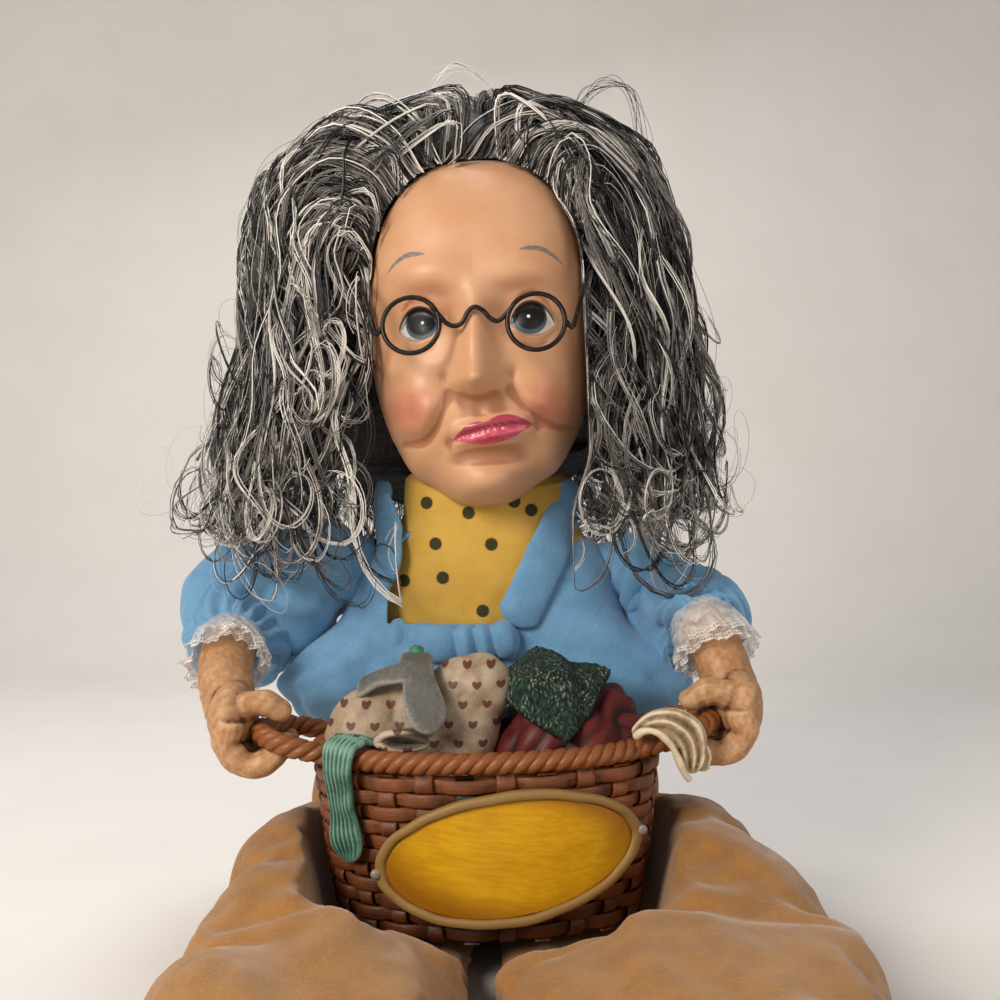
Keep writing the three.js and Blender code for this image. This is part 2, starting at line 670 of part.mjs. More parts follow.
const hairRings = HAIR_SECTIONS.map(([z, right, left, front, back], level) => {
  const middleX = (right + left) / 2;
  const middleY = (front + back) / 2;
  return ring(3 * HAIR_RIDGES, (a) => {
    const swell = 1 + HAIR_RIDGE_DEPTH * Math.cos(HAIR_RIDGES * a + 0.8 * level);
    const x = middleX + ((left - right) / 2) * swell * Math.cos(a);
    const y = middleY + ((back - front) / 2) * swell * Math.sin(a);
    const ragged = level === 0 ? HAIR_ENDS * (1.3 + Math.cos(a) + 0.5 * Math.sin(5 * a)) : 0;
    return vector(x, y, z + ragged);
  });
});

const shoulderSpace = block(
  vector(-FAR, -SHOULDER_CLEAR_FRONT - HEAD_Y, -HEAD_Z),
  vector(FAR, SHOULDER_CLEAR_BACK - HEAD_Y, SHOULDER_CLEAR_TOP - HEAD_Z),
);
const collarReach = COLLAR_INNER + COLLAR_THICKNESS + 2;
const neckSpace = block(
  vector(-collarReach, -SHOULDER_CLEAR_FRONT - HEAD_Y, -HEAD_Z),
  vector(collarReach, SHOULDER_CLEAR_BACK - HEAD_Y, -0.8 * JAW_HEIGHT),
);

// Spectacles: two rims, a wavy bridge that rides on the nose, and temples that run back into the hair.
const BRIDGE_RISE = 3.5;
const noseFront = headPoint(Math.PI / 2, radians(3), 0, true).y;
const bridgeAway = Math.atan2(LENS_HEIGHT + BRIDGE_RISE, HEAD_HALF_DEPTH);
const bridgeFront = headPoint(Math.PI / 2, Math.abs(bridgeAway), 0, true).y;
const LENS_Y = Math.min(bridgeFront, noseFront) - WIRE_RADIUS - GAP;
const bridgeHalf = LENS_SPACING / 2 - LENS_RADIUS;

function wire(points, steps, radius = WIRE_RADIUS) {
  const disc = new THREE.Shape().absarc(0, 0, radius, 0, 2 * Math.PI);
  return new THREE.ExtrudeGeometry(disc, {
    extrudePath: pathThrough(points),
    steps,
    curveSegments: 3,
    bevelEnabled: false,
  });
}

function templePoints(side) {
  const rimX = LENS_SPACING / 2 + LENS_RADIUS;
  return [
    vector(side * rimX, LENS_Y, LENS_HEIGHT),
    vector(side * (rimX + 4), LENS_Y + 1, LENS_HEIGHT - 2.5),
    vector(side * (rimX + 8), LENS_Y + 6, LENS_HEIGHT + 1),
    vector(side * (HEAD_HALF_WIDTH + 3), -0.6 * HEAD_HALF_DEPTH, LENS_HEIGHT + 9),
    vector(side * (HEAD_HALF_WIDTH + 5), -0.2 * HEAD_HALF_DEPTH, LENS_HEIGHT + 14),
  ];
}

const rims = [-1, 1].map((side) =>
  new THREE.TorusGeometry(LENS_RADIUS, WIRE_RADIUS, 6, 20)
    .rotateX(Math.PI / 2)
    .translate((side * LENS_SPACING) / 2, LENS_Y, LENS_HEIGHT),
);
const bridge = wire(
  [
    vector(-bridgeHalf, LENS_Y, LENS_HEIGHT),
    vector(-0.6 * bridgeHalf, LENS_Y, LENS_HEIGHT - 1.5),
    vector(0, LENS_Y, LENS_HEIGHT + BRIDGE_RISE),
    vector(0.6 * bridgeHalf, LENS_Y, LENS_HEIGHT - 1),
    vector(bridgeHalf, LENS_Y, LENS_HEIGHT),
  ],
  10,
);
const temples = [-1, 1].map((side) => wire(templePoints(side), 8));
const spectacles = join(rims[0], rims[1], bridge, ...temples).applyMatrix4(headTilt);
piece(head, "glasses_frame", spectacles, WIRE);

const templeSpaces = [-1, 1].map((side) =>
  wire(templePoints(side), 8, WIRE_RADIUS + 1.5 * GAP).applyMatrix4(headTilt),
);
const hairMass = cut(
  loft(hairRings),
  coarseHead(CAP_OFFSET + CAP_THICKNESS + GAP),
  faceWindow,
  shoulderSpace,
  neckSpace,
  ...templeSpaces,
);

const PART = SPLIT / 2;
const LOCKS = {
  hair_crown: [vector(-FAR, -FAR, PARTING_HEIGHT + PART), vector(FAR, FAR, FAR)],
  hair_right_front: [vector(-FAR, -FAR, -FAR), vector(-PART, -PART, PARTING_HEIGHT - PART)],
  hair_right_back: [vector(-FAR, PART, -FAR), vector(-PART, FAR, PARTING_HEIGHT - PART)],
  hair_left_front: [vector(PART, -FAR, -FAR), vector(FAR, -PART, PARTING_HEIGHT - PART)],
  hair_left_back: [vector(PART, PART, -FAR), vector(FAR, FAR, PARTING_HEIGHT - PART)],
};
for (const [name, [low, high]] of Object.entries(LOCKS)) {
  piece(head, name, common(hairMass, block(low, high)), HAIR);
}

// Basket: a woven oval tub, modelled round its own foot and then set on the lap

const basketPlace = new THREE.Matrix4()
  .makeTranslation(BASKET_X, BASKET_Y, BASKET_Z)
  .multiply(new THREE.Matrix4().makeRotationY(radians(BASKET_ROLL)));
const onLap = (geometry) => geometry.applyMatrix4(basketPlace);

// Half width and half depth of the wall at a height above the foot.
function wallAt(z) {
  const flare = Math.min(Math.max(z / BASKET_HEIGHT, 0), 1) ** 0.8;
  return [
    blend(FOOT_HALF_WIDTH, RIM_HALF_WIDTH, flare),
    blend(FOOT_HALF_DEPTH, RIM_HALF_DEPTH, flare),
  ];
}

function wallRing(z, offset, count) {
  const [halfWidth, halfDepth] = wallAt(z);
  return ring(count, (a) =>
    vector((halfWidth + offset) * Math.cos(a), (halfDepth + offset) * Math.sin(a), z),
  );
}

// Each row passes in front of one stake and behind the next, and the next row does the opposite.
const WEAVE_AROUND = 2 * WEAVE_STAKES;
const SHELL_TOP = BASKET_HEIGHT - RIM_ROPE_RADIUS * 1.2 - GAP;
const rowHeight = SHELL_TOP / WEAVE_ROWS;
const weaveRings = [];
for (let row = 0; row < WEAVE_ROWS; row++) {
  for (const part of [0.1, 0.9]) {
    const z = row === 0 && part < 0.5 ? 0 : (row + part) * rowHeight;
    const [halfWidth, halfDepth] = wallAt(z);
    const points = Array.from({ length: WEAVE_AROUND }, (_, i) => {
      const inFront = (Math.floor(i / 2) + row) % 2 === 0;
      const offset = inFront ? WEAVE_DEPTH : -WEAVE_DEPTH;
      const a = (2 * Math.PI * i) / WEAVE_AROUND;
      return vector((halfWidth + offset) * Math.cos(a), (halfDepth + offset) * Math.sin(a), z);
    });
    weaveRings.push(points);
  }
}
const basketShell = loft([
  ...weaveRings,
  wallRing(SHELL_TOP, -BASKET_WALL, WEAVE_AROUND),
  wallRing(SHELL_TOP / 2, -BASKET_WALL, WEAVE_AROUND),
  wallRing(BASKET_WALL, -BASKET_WALL, WEAVE_AROUND),
]);
piece(arms, "basket_shell", onLap(basketShell), WICKER);

class Oval extends THREE.Curve {
  constructor(halfWidth, halfDepth, height) {
    super();
    Object.assign(this, { halfWidth, halfDepth, height });
  }
  getPoint(t, target = vector(0, 0, 0)) {
    const a = 2 * Math.PI * t;
    return target.set(this.halfWidth * Math.cos(a), this.halfDepth * Math.sin(a), this.height);
  }
}

const ROPE_SWELL = 1.14;
const RIM_CENTRE = RIM_HALF_WIDTH - BASKET_WALL / 2;
const RIM_CENTRE_DEPTH = RIM_HALF_DEPTH - BASKET_WALL / 2;
const rimCurve = new Oval(RIM_CENTRE, RIM_CENTRE_DEPTH, BASKET_HEIGHT);
const rimRope = (radius, turns) =>
  sweep(rimCurve, 8 * RIM_ROPE_TURNS, (t) => strands(radius, 2 * Math.PI * turns * t), true);
piece(arms, "basket_rim", onLap(rimRope(RIM_ROPE_RADIUS, RIM_ROPE_TURNS)), ROPE);
const rimSpace = (extra) =>
  onLap(sweep(rimCurve, 40, () => round(RIM_ROPE_RADIUS * ROPE_SWELL + extra, 6), true));

// Handles: rope loops that stand out from the rim's ends.
function handleCurve(side) {
  const root = RIM_CENTRE * Math.sqrt(1 - (HANDLE_HALF_SPAN / RIM_CENTRE_DEPTH) ** 2);
  const tip = RIM_CENTRE + HANDLE_REACH;
  return pathThrough([
    vector(side * root, -HANDLE_HALF_SPAN, BASKET_HEIGHT),
    vector(side * blend(root, tip, 0.65), -HANDLE_HALF_SPAN, BASKET_HEIGHT + 0.7 * HANDLE_RISE),
    vector(side * tip, 0, BASKET_HEIGHT + HANDLE_RISE),
    vector(side * blend(root, tip, 0.65), HANDLE_HALF_SPAN, BASKET_HEIGHT + 0.7 * HANDLE_RISE),
    vector(side * root, HANDLE_HALF_SPAN, BASKET_HEIGHT),
  ]);
}

for (const { side, name } of [
  { side: -1, name: "handle_right" },
  { side: 1, name: "handle_left" },
]) {
  const rope = sweep(handleCurve(side), 8 * HANDLE_TURNS, (t) =>
    strands(HANDLE_ROPE_RADIUS, 2 * Math.PI * HANDLE_TURNS * t),
  );
  piece(arms, name, cut(onLap(rope), rimSpace(2.5 * GAP)), ROPE);
}
const handleSpace = (side) =>
  onLap(sweep(handleCurve(side), 9, () => round(HANDLE_ROPE_RADIUS * ROPE_SWELL + 2 * GAP, 6)));

// Plaque: an oval board in a border, bent to the basket's front.
const PLAQUE_BACK = WEAVE_DEPTH + 2.5 * GAP;

function plaqueRing(share, grow, offset) {
  return ring(28, (a) => {
    const along = (share * PLAQUE_HALF_WIDTH + grow) * Math.cos(a);
    const up = (share * PLAQUE_HALF_HEIGHT + grow) * Math.sin(a);
    return frontWall(along, up, offset);
  });
}

// A place on the basket's front, measured along and up the tilted plaque.
function frontWall(along, up, offset) {
  const tilt = radians(PLAQUE_TILT);
  const x = PLAQUE_SHIFT + along * Math.cos(tilt) - up * Math.sin(tilt);
  const z = PLAQUE_HEIGHT + along * Math.sin(tilt) + up * Math.cos(tilt);
  const [halfWidth, halfDepth] = wallAt(z);
  const y = -halfDepth * Math.sqrt(1 - (x / halfWidth) ** 2);
  const normal = vector(x / halfWidth ** 2, y / halfDepth ** 2, 0).normalize();
  return vector(x, y, z).addScaledVector(normal, offset);
}

const boardFace = PLAQUE_BACK + PLAQUE_THICKNESS;
const board = loft([
  plaqueRing(0.3, 0, PLAQUE_BACK),
  plaqueRing(0.65, 0, PLAQUE_BACK),
  plaqueRing(1, 0, PLAQUE_BACK),
  plaqueRing(1, 0, boardFace),
  plaqueRing(0.65, 0, boardFace),
  plaqueRing(0.3, 0, boardFace),
]);
piece(arms, "plaque_board", onLap(board), PLAQUE_PAINT);

const borderFace = boardFace + BORDER_PROUD;
const border = loft(
  [
    plaqueRing(1, GAP, PLAQUE_BACK),
    plaqueRing(1, 0.9 * PLAQUE_BORDER, PLAQUE_BACK),
    plaqueRing(1, PLAQUE_BORDER, PLAQUE_BACK + 0.6 * PLAQUE_THICKNESS),
    plaqueRing(1, 0.6 * PLAQUE_BORDER, borderFace),
    plaqueRing(1, GAP, boardFace + 0.7 * BORDER_PROUD),
  ],
  true,
);
piece(arms, "plaque_border", onLap(border), BORDER_WOOD);

for (const { side, name } of [
  { side: -1, name: "plaque_nail_right" },
  { side: 1, name: "plaque_nail_left" },
]) {
  const along = side * (PLAQUE_HALF_WIDTH + 0.6 * PLAQUE_BORDER);
  const foot = frontWall(along, 0, borderFace + GAP);
  const top = frontWall(along, 0, borderFace + GAP + NAIL_HEIGHT);
  const nail = new THREE.CylinderGeometry(0.7 * NAIL_RADIUS, NAIL_RADIUS, NAIL_HEIGHT, 10);
  const stand = new THREE.Quaternion().setFromUnitVectors(
    vector(0, 1, 0),
    top.clone().sub(foot).normalize(),
  );
  nail.applyQuaternion(stand).translate(...foot.clone().lerp(top, 0.5).toArray());
  piece(arms, name, onLap(nail), NAIL_STEEL);
}

// Laundry: a packed bed, four heaps on it and two cloths over the rim

const BED_AROUND = 24;
const BED_OFFSET = -BASKET_WALL - GAP;
const bedRings = (grow) =>
  loft([
    wallRing(BASKET_WALL + GAP - grow, BED_OFFSET, BED_AROUND),
    wallRing(SHELL_TOP / 2, BED_OFFSET, BED_AROUND),
    wallRing(SHELL_TOP - 3 + grow, BED_OFFSET, BED_AROUND),
    wallRing(SHELL_TOP + grow, 3 * BED_OFFSET, BED_AROUND),
  ]);
piece(arms, "laundry_bed", onLap(bedRings(0)), MAROON);

const INSIDE_RIM = -BASKET_WALL / 2 - RIM_ROPE_RADIUS * ROPE_SWELL - GAP;
const insideRim = loft([
  wallRing(BASKET_HEIGHT, INSIDE_RIM, BED_AROUND).map((point) => point.setZ(SHELL_TOP - 6)),
  wallRing(BASKET_HEIGHT, INSIDE_RIM, BED_AROUND).map((point) => point.setZ(3 * BASKET_HEIGHT)),
]);

const crumple = (seed) => (d) =>
  1 + 0.06 * Math.sin(7 * d.x + seed) + 0.05 * Math.sin(9 * d.y + 5 * d.z + 2 * seed);
const overMouth = (x, y, z) => vector(x, y, BASKET_HEIGHT + z);
const heap = ({ middle, radii }, seed) => (grow) =>
  lump(overMouth(...middle), vector(...radii).addScalar(1.4 * grow), crumple(seed), 14, 8);

const maroonHeap = heap(MAROON_HEAP, 1);
const towelHeap = heap(TOWEL_HEAP, 2);
const creamHeap = heap(CREAM_HEAP, 3);
const wrung = (geometry, ...below) =>
  onLap(cut(common(geometry, insideRim), bedRings(GAP), ...below));
piece(arms, "laundry_maroon_cloth", wrung(maroonHeap(0)), MAROON);
piece(arms, "laundry_green_towel", wrung(towelHeap(0), maroonHeap(GAP)), GREEN);
piece(arms, "laundry_cream_hearts", wrung(creamHeap(0), maroonHeap(GAP), towelHeap(GAP)), CREAM);

const sockPath = pathThrough(SOCK_POINTS.map((point) => overMouth(...point)));
const greySock = sweep(sockPath, 6, (t) => round(SOCK_RADIUS * (0.75 + 0.3 * t), 8));
piece(arms, "laundry_grey_sock", wrung(greySock, creamHeap(GAP), towelHeap(GAP)), GREY);

// A cloth laid over the rim at an angle round the basket, hanging down the outside.
function overRim({ angle: place, drop, width, thickness }) {
  const angle = radians(place);
  const foot = vector(RIM_CENTRE * Math.cos(angle), RIM_CENTRE_DEPTH * Math.sin(angle), BASKET_HEIGHT);
  const out = vector(Math.cos(angle) / RIM_CENTRE, Math.sin(angle) / RIM_CENTRE_DEPTH, 0).normalize();
  const across = vector(-out.y, out.x, 0);
  const reach = RIM_ROPE_RADIUS * ROPE_SWELL + GAP + thickness / 2;
  const over = [80, 50, 20, -10].map((turn) =>
    foot
      .clone()
      .addScaledVector(out, reach * Math.cos(radians(turn)))
      .add(vector(0, 0, reach * Math.sin(radians(turn)))),
  );
  const hang = [0.55, 1].map((t) => {
    const z = BASKET_HEIGHT - drop * t;
    const [halfWidth, halfDepth] = wallAt(z);
    const wall = vector(halfWidth * Math.cos(angle), halfDepth * Math.sin(angle), z);
    return wall.addScaledVector(out, WEAVE_DEPTH + GAP + thickness / 2);
  });
  return strip([...over, ...hang], across, width, thickness);
}

const plaqueTop =
  PLAQUE_HEIGHT +
  Math.hypot(
    (PLAQUE_HALF_WIDTH + PLAQUE_BORDER) * Math.sin(radians(PLAQUE_TILT)),
    (PLAQUE_HALF_HEIGHT + PLAQUE_BORDER) * Math.cos(radians(PLAQUE_TILT)),
  );
const creamDrop = BASKET_HEIGHT - plaqueTop + CREAM_CLOTH.lap;
piece(arms, "laundry_teal_sock", onLap(overRim(TEAL_SOCK)), TEAL);
piece(arms, "laundry_cream_cloth", onLap(overRim({ ...CREAM_CLOTH, drop: creamDrop })), CREAM);

// Arms: a stuffed core in a full sleeve, a lace cuff, and a resin forearm whose fist holds the handle

const SLEEVE_INNER = CHEST_HALF_WIDTH + ROBE_OUTER + GAP;
const SLEEVE_END = 0.66; // along the arm
const CORE_END = 0.52;
const SLEEVE_SHAPE = [0.75, 0.95, 1.05, 1.1, 1, 0.8, 0.6];

// The part of a curve between two places along it.
function stretch(curve, from, to) {
  const count = 8;
  return pathThrough(
    Array.from({ length: count + 1 }, (_, i) => curve.getPointAt(blend(from, to, i / count))),
  );
}

for (const [name, arm] of Object.entries(ARMS)) {
  const { side } = arm;
  const grip = handleCurve(side).getPointAt(0.5).applyMatrix4(basketPlace);
  const palm = grip.clone().add(vector(side * (HANDLE_ROPE_RADIUS + PALM_REACH), 1, PALM_RISE));
  const shoulder = vector(side * SLEEVE_INNER, 0, SHOULDER_HEIGHT);
  const elbow = vector(...arm.elbow);
  const armCurve = pathThrough([
    shoulder,
    shoulder.clone().lerp(elbow, 0.4).setZ(SHOULDER_HEIGHT - 2),
    elbow,
    vector(...arm.wrist),
    palm,
  ]);

  const sleevePath = stretch(armCurve, 0, SLEEVE_END);
  const fullSleeve = sweep(sleevePath, 9, (t) =>
    ring(16, (a) => {
      const fold = 1 + 0.06 * Math.cos(6 * a + 9 * t);
      const radius = arm.sleeve * through(SLEEVE_SHAPE, t) * fold;
      return [radius * Math.cos(a), radius * Math.sin(a)];
    }),
  );
  // The sleeve's top lies flat against the robe's side.
  const robeSide = block(vector(-FAR, -FAR, 0), vector(FAR, FAR, FAR));
  robeSide.translate(side * (SLEEVE_INNER - FAR), 0, 0);
  const bore = sweep(stretch(armCurve, 0.06, SLEEVE_END + 0.04), 9, () => round(ARM_RADIUS + 4 * GAP, 8));
  piece(arms, "sleeve_" + name, cut(fullSleeve, robeSide, bore), FLANNEL);

  const core = sweep(stretch(armCurve, 0.08, CORE_END), 6, () => round(ARM_RADIUS, 8));
  piece(arms, "arm_" + name, core, MUSLIN);

  // Cuff: a flared band round the wrist, just past the sleeve.
  const cuffPath = stretch(armCurve, SLEEVE_END + 0.05, SLEEVE_END + 0.14);
  const frames = cuffPath.computeFrenetFrames(CUFF_STEPS, false);
  const cuffSide = (radius, i) =>
    ring(2 * CUFF_FRILLS, (a) => {
      const frill = radius + (i / CUFF_STEPS) * 0.8 * Math.cos(CUFF_FRILLS * a);
      return cuffPath
        .getPointAt(i / CUFF_STEPS)
        .addScaledVector(frames.normals[i], frill * Math.cos(a))
        .addScaledVector(frames.binormals[i], frill * Math.sin(a));
    });
  const cuffInner = (i) => ARM_RADIUS + 1.5 * GAP + (i / CUFF_STEPS) * CUFF_FLARE;
  const steps = Array.from({ length: CUFF_STEPS + 1 }, (_, i) => i);
  const cuff = loft(
    [
      ...steps.map((i) => cuffSide(cuffInner(i) + CUFF_THICKNESS, i)),
      ...steps.toReversed().map((i) => cuffSide(cuffInner(i), i)),
    ],
    true,
  );
  piece(arms, "cuff_" + name, cuff, LACE);

  // Fist: fingers go under the handle and up its inner side, the thumb lies over the top.
  const reach = HANDLE_ROPE_RADIUS * ROPE_SWELL + GAP + FINGER_RADIUS;
  const roundGrip = (y, angle, radius) =>
    grip.clone().add(vector(side * radius * Math.cos(angle), y, radius * Math.sin(angle)));
  const forearm = sweep(stretch(armCurve, CORE_END + 0.01, 1), 6, (t) =>
    round(ARM_RADIUS * (1 - 0.1 * t), 8),
  );
  const hand = lump(palm, vector(...PALM_HALF), () => 1, 9, 6);
  const fingers = [-1.5, -0.5, 0.5, 1.5].map((place) => {
    const bend = [30, -30, -90, -140, -175].map((turn) =>
      roundGrip(place * FINGER_PITCH, radians(turn), reach),
    );
    return sweep(pathThrough(bend), 5, (t) => round(FINGER_RADIUS * (1 - 0.2 * t), 5));
  });
  const thumbPoints = [30, 70, 110, 145].map((turn, i) =>
    roundGrip(-FINGER_PITCH + 1.5 * i, radians(turn), reach + 0.5),
  );
  const thumb = sweep(pathThrough(thumbPoints), 4, (t) => round(THUMB_RADIUS * (1 - 0.25 * t), 5));
  const fist = cut(join(forearm, hand, thumb, ...fingers), handleSpace(side));
  piece(arms, "hand_" + name, fist, HAND_RESIN);
}

export default doll;
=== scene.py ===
# %% [markdown]
# A sitting doll with a resin head and hands, cloth clothes and a cast laundry basket on its lap. The packed
# model is loaded first as a fixed frame: every piece below is modelled in that frame, in millimetres, and
# made metres at the end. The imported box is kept, so the dressed doll can be compared with it.

from math import copysign, cos, pi, radians, sin, sqrt, tau

import bmesh
import bpy
import numpy as np
from mathutils import Matrix, Vector


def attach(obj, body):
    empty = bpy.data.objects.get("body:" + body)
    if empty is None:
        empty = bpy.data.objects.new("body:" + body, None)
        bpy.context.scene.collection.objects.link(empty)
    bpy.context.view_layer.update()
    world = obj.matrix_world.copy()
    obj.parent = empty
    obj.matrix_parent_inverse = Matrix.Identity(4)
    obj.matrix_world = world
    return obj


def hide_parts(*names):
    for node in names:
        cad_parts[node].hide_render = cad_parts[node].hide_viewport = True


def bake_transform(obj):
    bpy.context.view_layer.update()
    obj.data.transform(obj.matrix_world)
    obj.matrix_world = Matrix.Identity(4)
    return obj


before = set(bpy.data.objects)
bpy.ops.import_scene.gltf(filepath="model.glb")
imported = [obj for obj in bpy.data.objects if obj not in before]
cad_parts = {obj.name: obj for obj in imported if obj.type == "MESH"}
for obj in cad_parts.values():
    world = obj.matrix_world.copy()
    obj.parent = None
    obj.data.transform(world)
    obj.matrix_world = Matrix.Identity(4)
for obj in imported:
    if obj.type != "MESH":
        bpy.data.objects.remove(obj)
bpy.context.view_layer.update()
MM = 0.001

# %% [markdown]
# The camera stands where the photograph was taken: in front of the chest, looking level along +Y. A short
# distance and a wide lens give the strong perspective that makes the face large and the lap fall away.

# %% Camera
CAMERA_PLACE = (5, -407, 147)
FOCAL_PIXELS = 1100
PICTURE_PIXELS = 1000
SENSOR_WIDTH = 36
NEAREST_SEEN = 10


def put_in_scene(name, data):
    """A new object with this name, linked to the scene."""
    thing = bpy.data.objects.new(name, data)
    bpy.context.scene.collection.objects.link(thing)
    return thing


camera = put_in_scene("camera", bpy.data.cameras.new("camera"))
camera.data.sensor_width = SENSOR_WIDTH
camera.data.lens = camera.data.sensor_width * FOCAL_PIXELS / PICTURE_PIXELS
camera.data.clip_start = NEAREST_SEEN * MM
camera.location = Vector(CAMERA_PLACE) * MM
camera.rotation_euler = (radians(90), 0, 0)
bpy.context.scene.camera = camera
bpy.context.scene.view_settings.view_transform = "Standard"
print("lens, mm:", round(camera.data.lens, 1))

# %% [markdown]
# Small helpers come next. Most pieces are a grid that is bent into shape: an operator makes the flat grid
# with its UV map, and one formula moves all its points at once. A tube is a grid whose two long edges meet
# and are merged. This keeps a clean surface and a map that cloth and rope patterns can follow.


# %% Helpers for shapes
SEAM_REACH = 0.002
PATH_STEPS = 24


def ease(value, low, high):
    """A smooth step from 0 at low to 1 at high."""
    t = np.clip((value - low) / (high - low), 0, 1)
    return t * t * (3 - 2 * t)


def hump(value, width):
    """1 at zero, sinking softly to nothing a few widths away."""
    return np.exp(-((value / width) ** 2))


def bell(x, z, at_x, at_z, wide, high):
    """A soft round hump over a place across and up."""
    return np.exp(-(((x - at_x) / wide) ** 2) - ((z - at_z) / high) ** 2)


def blunt(wave, power):
    """A wave whose crests are made flatter by a power below 1."""
    return np.sign(wave) * np.abs(wave) ** power


def mix(a, b, t):
    return a + (b - a) * t


def unit(vectors):
    return vectors / np.linalg.norm(vectors, axis=-1)[..., None]


def points_of(x, y, z):
    return np.stack(np.broadcast_arrays(x, y, z), axis=-1).astype(float)


def ripple(points, wavelength, seed, waves=7):
    """A smooth uneven field from -1 to 1, the same on every run."""
    draw = np.random.default_rng(seed)
    total = np.zeros(len(points))
    for _ in range(waves):
        direction = draw.normal(size=3)
        direction /= np.linalg.norm(direction)
        length = wavelength * draw.uniform(0.7, 1.5)
        total += np.sin(points @ direction * tau / length + draw.uniform(0, tau))
    return total / waves * 1.6


def set_points(bm, points):
    for vert, point in zip(bm.verts, points):
        vert.co = point


def bent_grid(across, along, shape, wrap=False):
    """A flat grid moved to shape(u, v), with u and v from 0 to 1, and its seams merged."""
    bm = bmesh.new()
    bm.loops.layers.uv.new("cut")
    bmesh.ops.create_grid(bm, x_segments=across, y_segments=along, size=0.5, calc_uvs=True)
    flat = np.array([vert.co[:2] for vert in bm.verts]) + 0.5
    set_points(bm, shape(flat[:, 0], flat[:, 1]))
    if wrap:
        bmesh.ops.remove_doubles(bm, verts=bm.verts, dist=SEAM_REACH)
        bmesh.ops.recalc_face_normals(bm, faces=bm.faces)
    return bm


def moved(bm, change):
    """The same mesh with every point sent through a formula."""
    set_points(bm, change(np.array([vert.co for vert in bm.verts])))
    return bm


def lump(middle, radii, detail=4):
    """An even round lump, to be worked further."""
    bm = bmesh.new()
    bmesh.ops.create_icosphere(bm, subdivisions=detail, radius=1)
    bmesh.ops.scale(bm, vec=radii, verts=bm.verts)
    bmesh.ops.translate(bm, vec=middle, verts=bm.verts)
    return bm


def travelled(path):
    """How far along a path each of its points lies."""
    return np.concatenate([[0], np.cumsum(np.linalg.norm(np.diff(path, axis=0), axis=1))])


def points_at(path, gone, at):
    return np.stack([np.interp(at, gone, path[:, k]) for k in range(3)], axis=1)


def path_through(places, count):
    """Evenly spaced points on a smooth path through a few places."""
    places = np.array(places, float)
    ends = np.vstack([2 * places[0] - places[1], places, 2 * places[-1] - places[-2]])
    fine = []
    for a, b, c, d in zip(ends, ends[1:], ends[2:], ends[3:]):
        t = np.linspace(0, 1, PATH_STEPS, endpoint=False)[:, None]
        square, cube = 2 * a - 5 * b + 4 * c - d, 3 * b - a - 3 * c + d
        fine.append(0.5 * (2 * b + (c - a) * t + square * t**2 + cube * t**3))
    fine = np.vstack([*fine, places[-1:]])
    gone = travelled(fine)
    return points_at(fine, gone, np.linspace(0, gone[-1], count))


def frames_along(path, up=(0, 0, 1), closed=False):
    """Two directions square to a path at each of its points, without sudden turns."""
    if closed:
        ahead = np.roll(path, -1, axis=0) - np.roll(path, 1, axis=0)
    else:
        ahead = np.gradient(path, axis=0)
    ahead = unit(ahead)
    side = np.cross(ahead, np.broadcast_to(np.array(up, float), ahead.shape))
    side /= np.maximum(np.linalg.norm(side, axis=1)[:, None], 1e-9)
    return side, np.cross(side, ahead)


def row_and_angle(u, v, spans):
    """Which point of a path each point of a grid belongs to, and its angle round the path."""
    return np.rint(v * spans).astype(int), u * tau


def outward(side, rise, angle):
    return side * np.cos(angle)[:, None] + rise * np.sin(angle)[:, None]


def tube(path, radius, around=12, up=(0, 0, 1), closed=False):
    """A tube along a path whose ends close to a point. Its radius is a number or radius(angle, t)."""
    side, rise = frames_along(path, up, closed)
    count = len(path)
    spans = count if closed else count - 1

    def shape(u, v):
        index, angle = row_and_angle(u, v, spans)
        index = index % count
        reach = radius(angle, v) if callable(radius) else radius + 0 * v
        if not closed:
            reach = reach * np.where((index == 0) | (index == count - 1), 0.0, 1.0)
        return path[index] + outward(side[index], rise[index], angle) * reach[:, None]

    return bent_grid(around, spans, shape, wrap=True)


def joined(*parts):
    """Several meshes in one, each still a closed body of its own."""
    bm = bmesh.new()
    bm.loops.layers.uv.new("cut")
    for part in parts:
        keep = bpy.data.meshes.new("part")
        part.to_mesh(keep)
        part.free()
        bm.from_mesh(keep)
        bpy.data.meshes.remove(keep)
    return bm


def columns_at(table, value):
    """The other columns of a table, read where its first column has a value."""
    return [np.interp(value, table[:, 0], column) for column in table.T[1:]]


def along_rows(table, share):
    """Every column of a table, read a share of the way through its rows."""
    rows = np.arange(len(table))
    return [np.interp(share * (len(table) - 1), rows, column) for column in np.transpose(table)]


def make_piece(name, bm, material, body=None, slot=None):
    """The mesh in millimetres becomes an object in metres, on its body of the frame."""
    bmesh.ops.scale(bm, vec=(MM, MM, MM), verts=bm.verts)
    mesh = bpy.data.meshes.new(name)
    bm.to_mesh(mesh)
    bm.free()
    mesh.shade_smooth()
    mesh.materials.append(material)
    piece = put_in_scene(name, mesh)
    if body:
        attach(piece, body)
    mesh.calc_loop_triangles()
    print(name, len(mesh.loop_triangles), "triangles")
    return piece


def fuse(bm, voxel, smoothing):
    """One skin over touching bodies, as if they were modelled from one piece of clay."""
    mesh = bpy.data.meshes.new("clay")
    bm.to_mesh(mesh)
    bm.free()
    clay = put_in_scene("clay", mesh)
    remesh = clay.modifiers.new("remesh", "REMESH")
    remesh.mode = "VOXEL"
    remesh.voxel_size = voxel
    clay.modifiers.new("smooth", "SMOOTH").iterations = smoothing
    evaluated = clay.evaluated_get(bpy.context.evaluated_depsgraph_get())
    result = bmesh.new()
    result.from_mesh(evaluated.to_mesh())
    evaluated.to_mesh_clear()
    bpy.data.objects.remove(clay)
    bpy.data.meshes.remove(mesh)
    return result


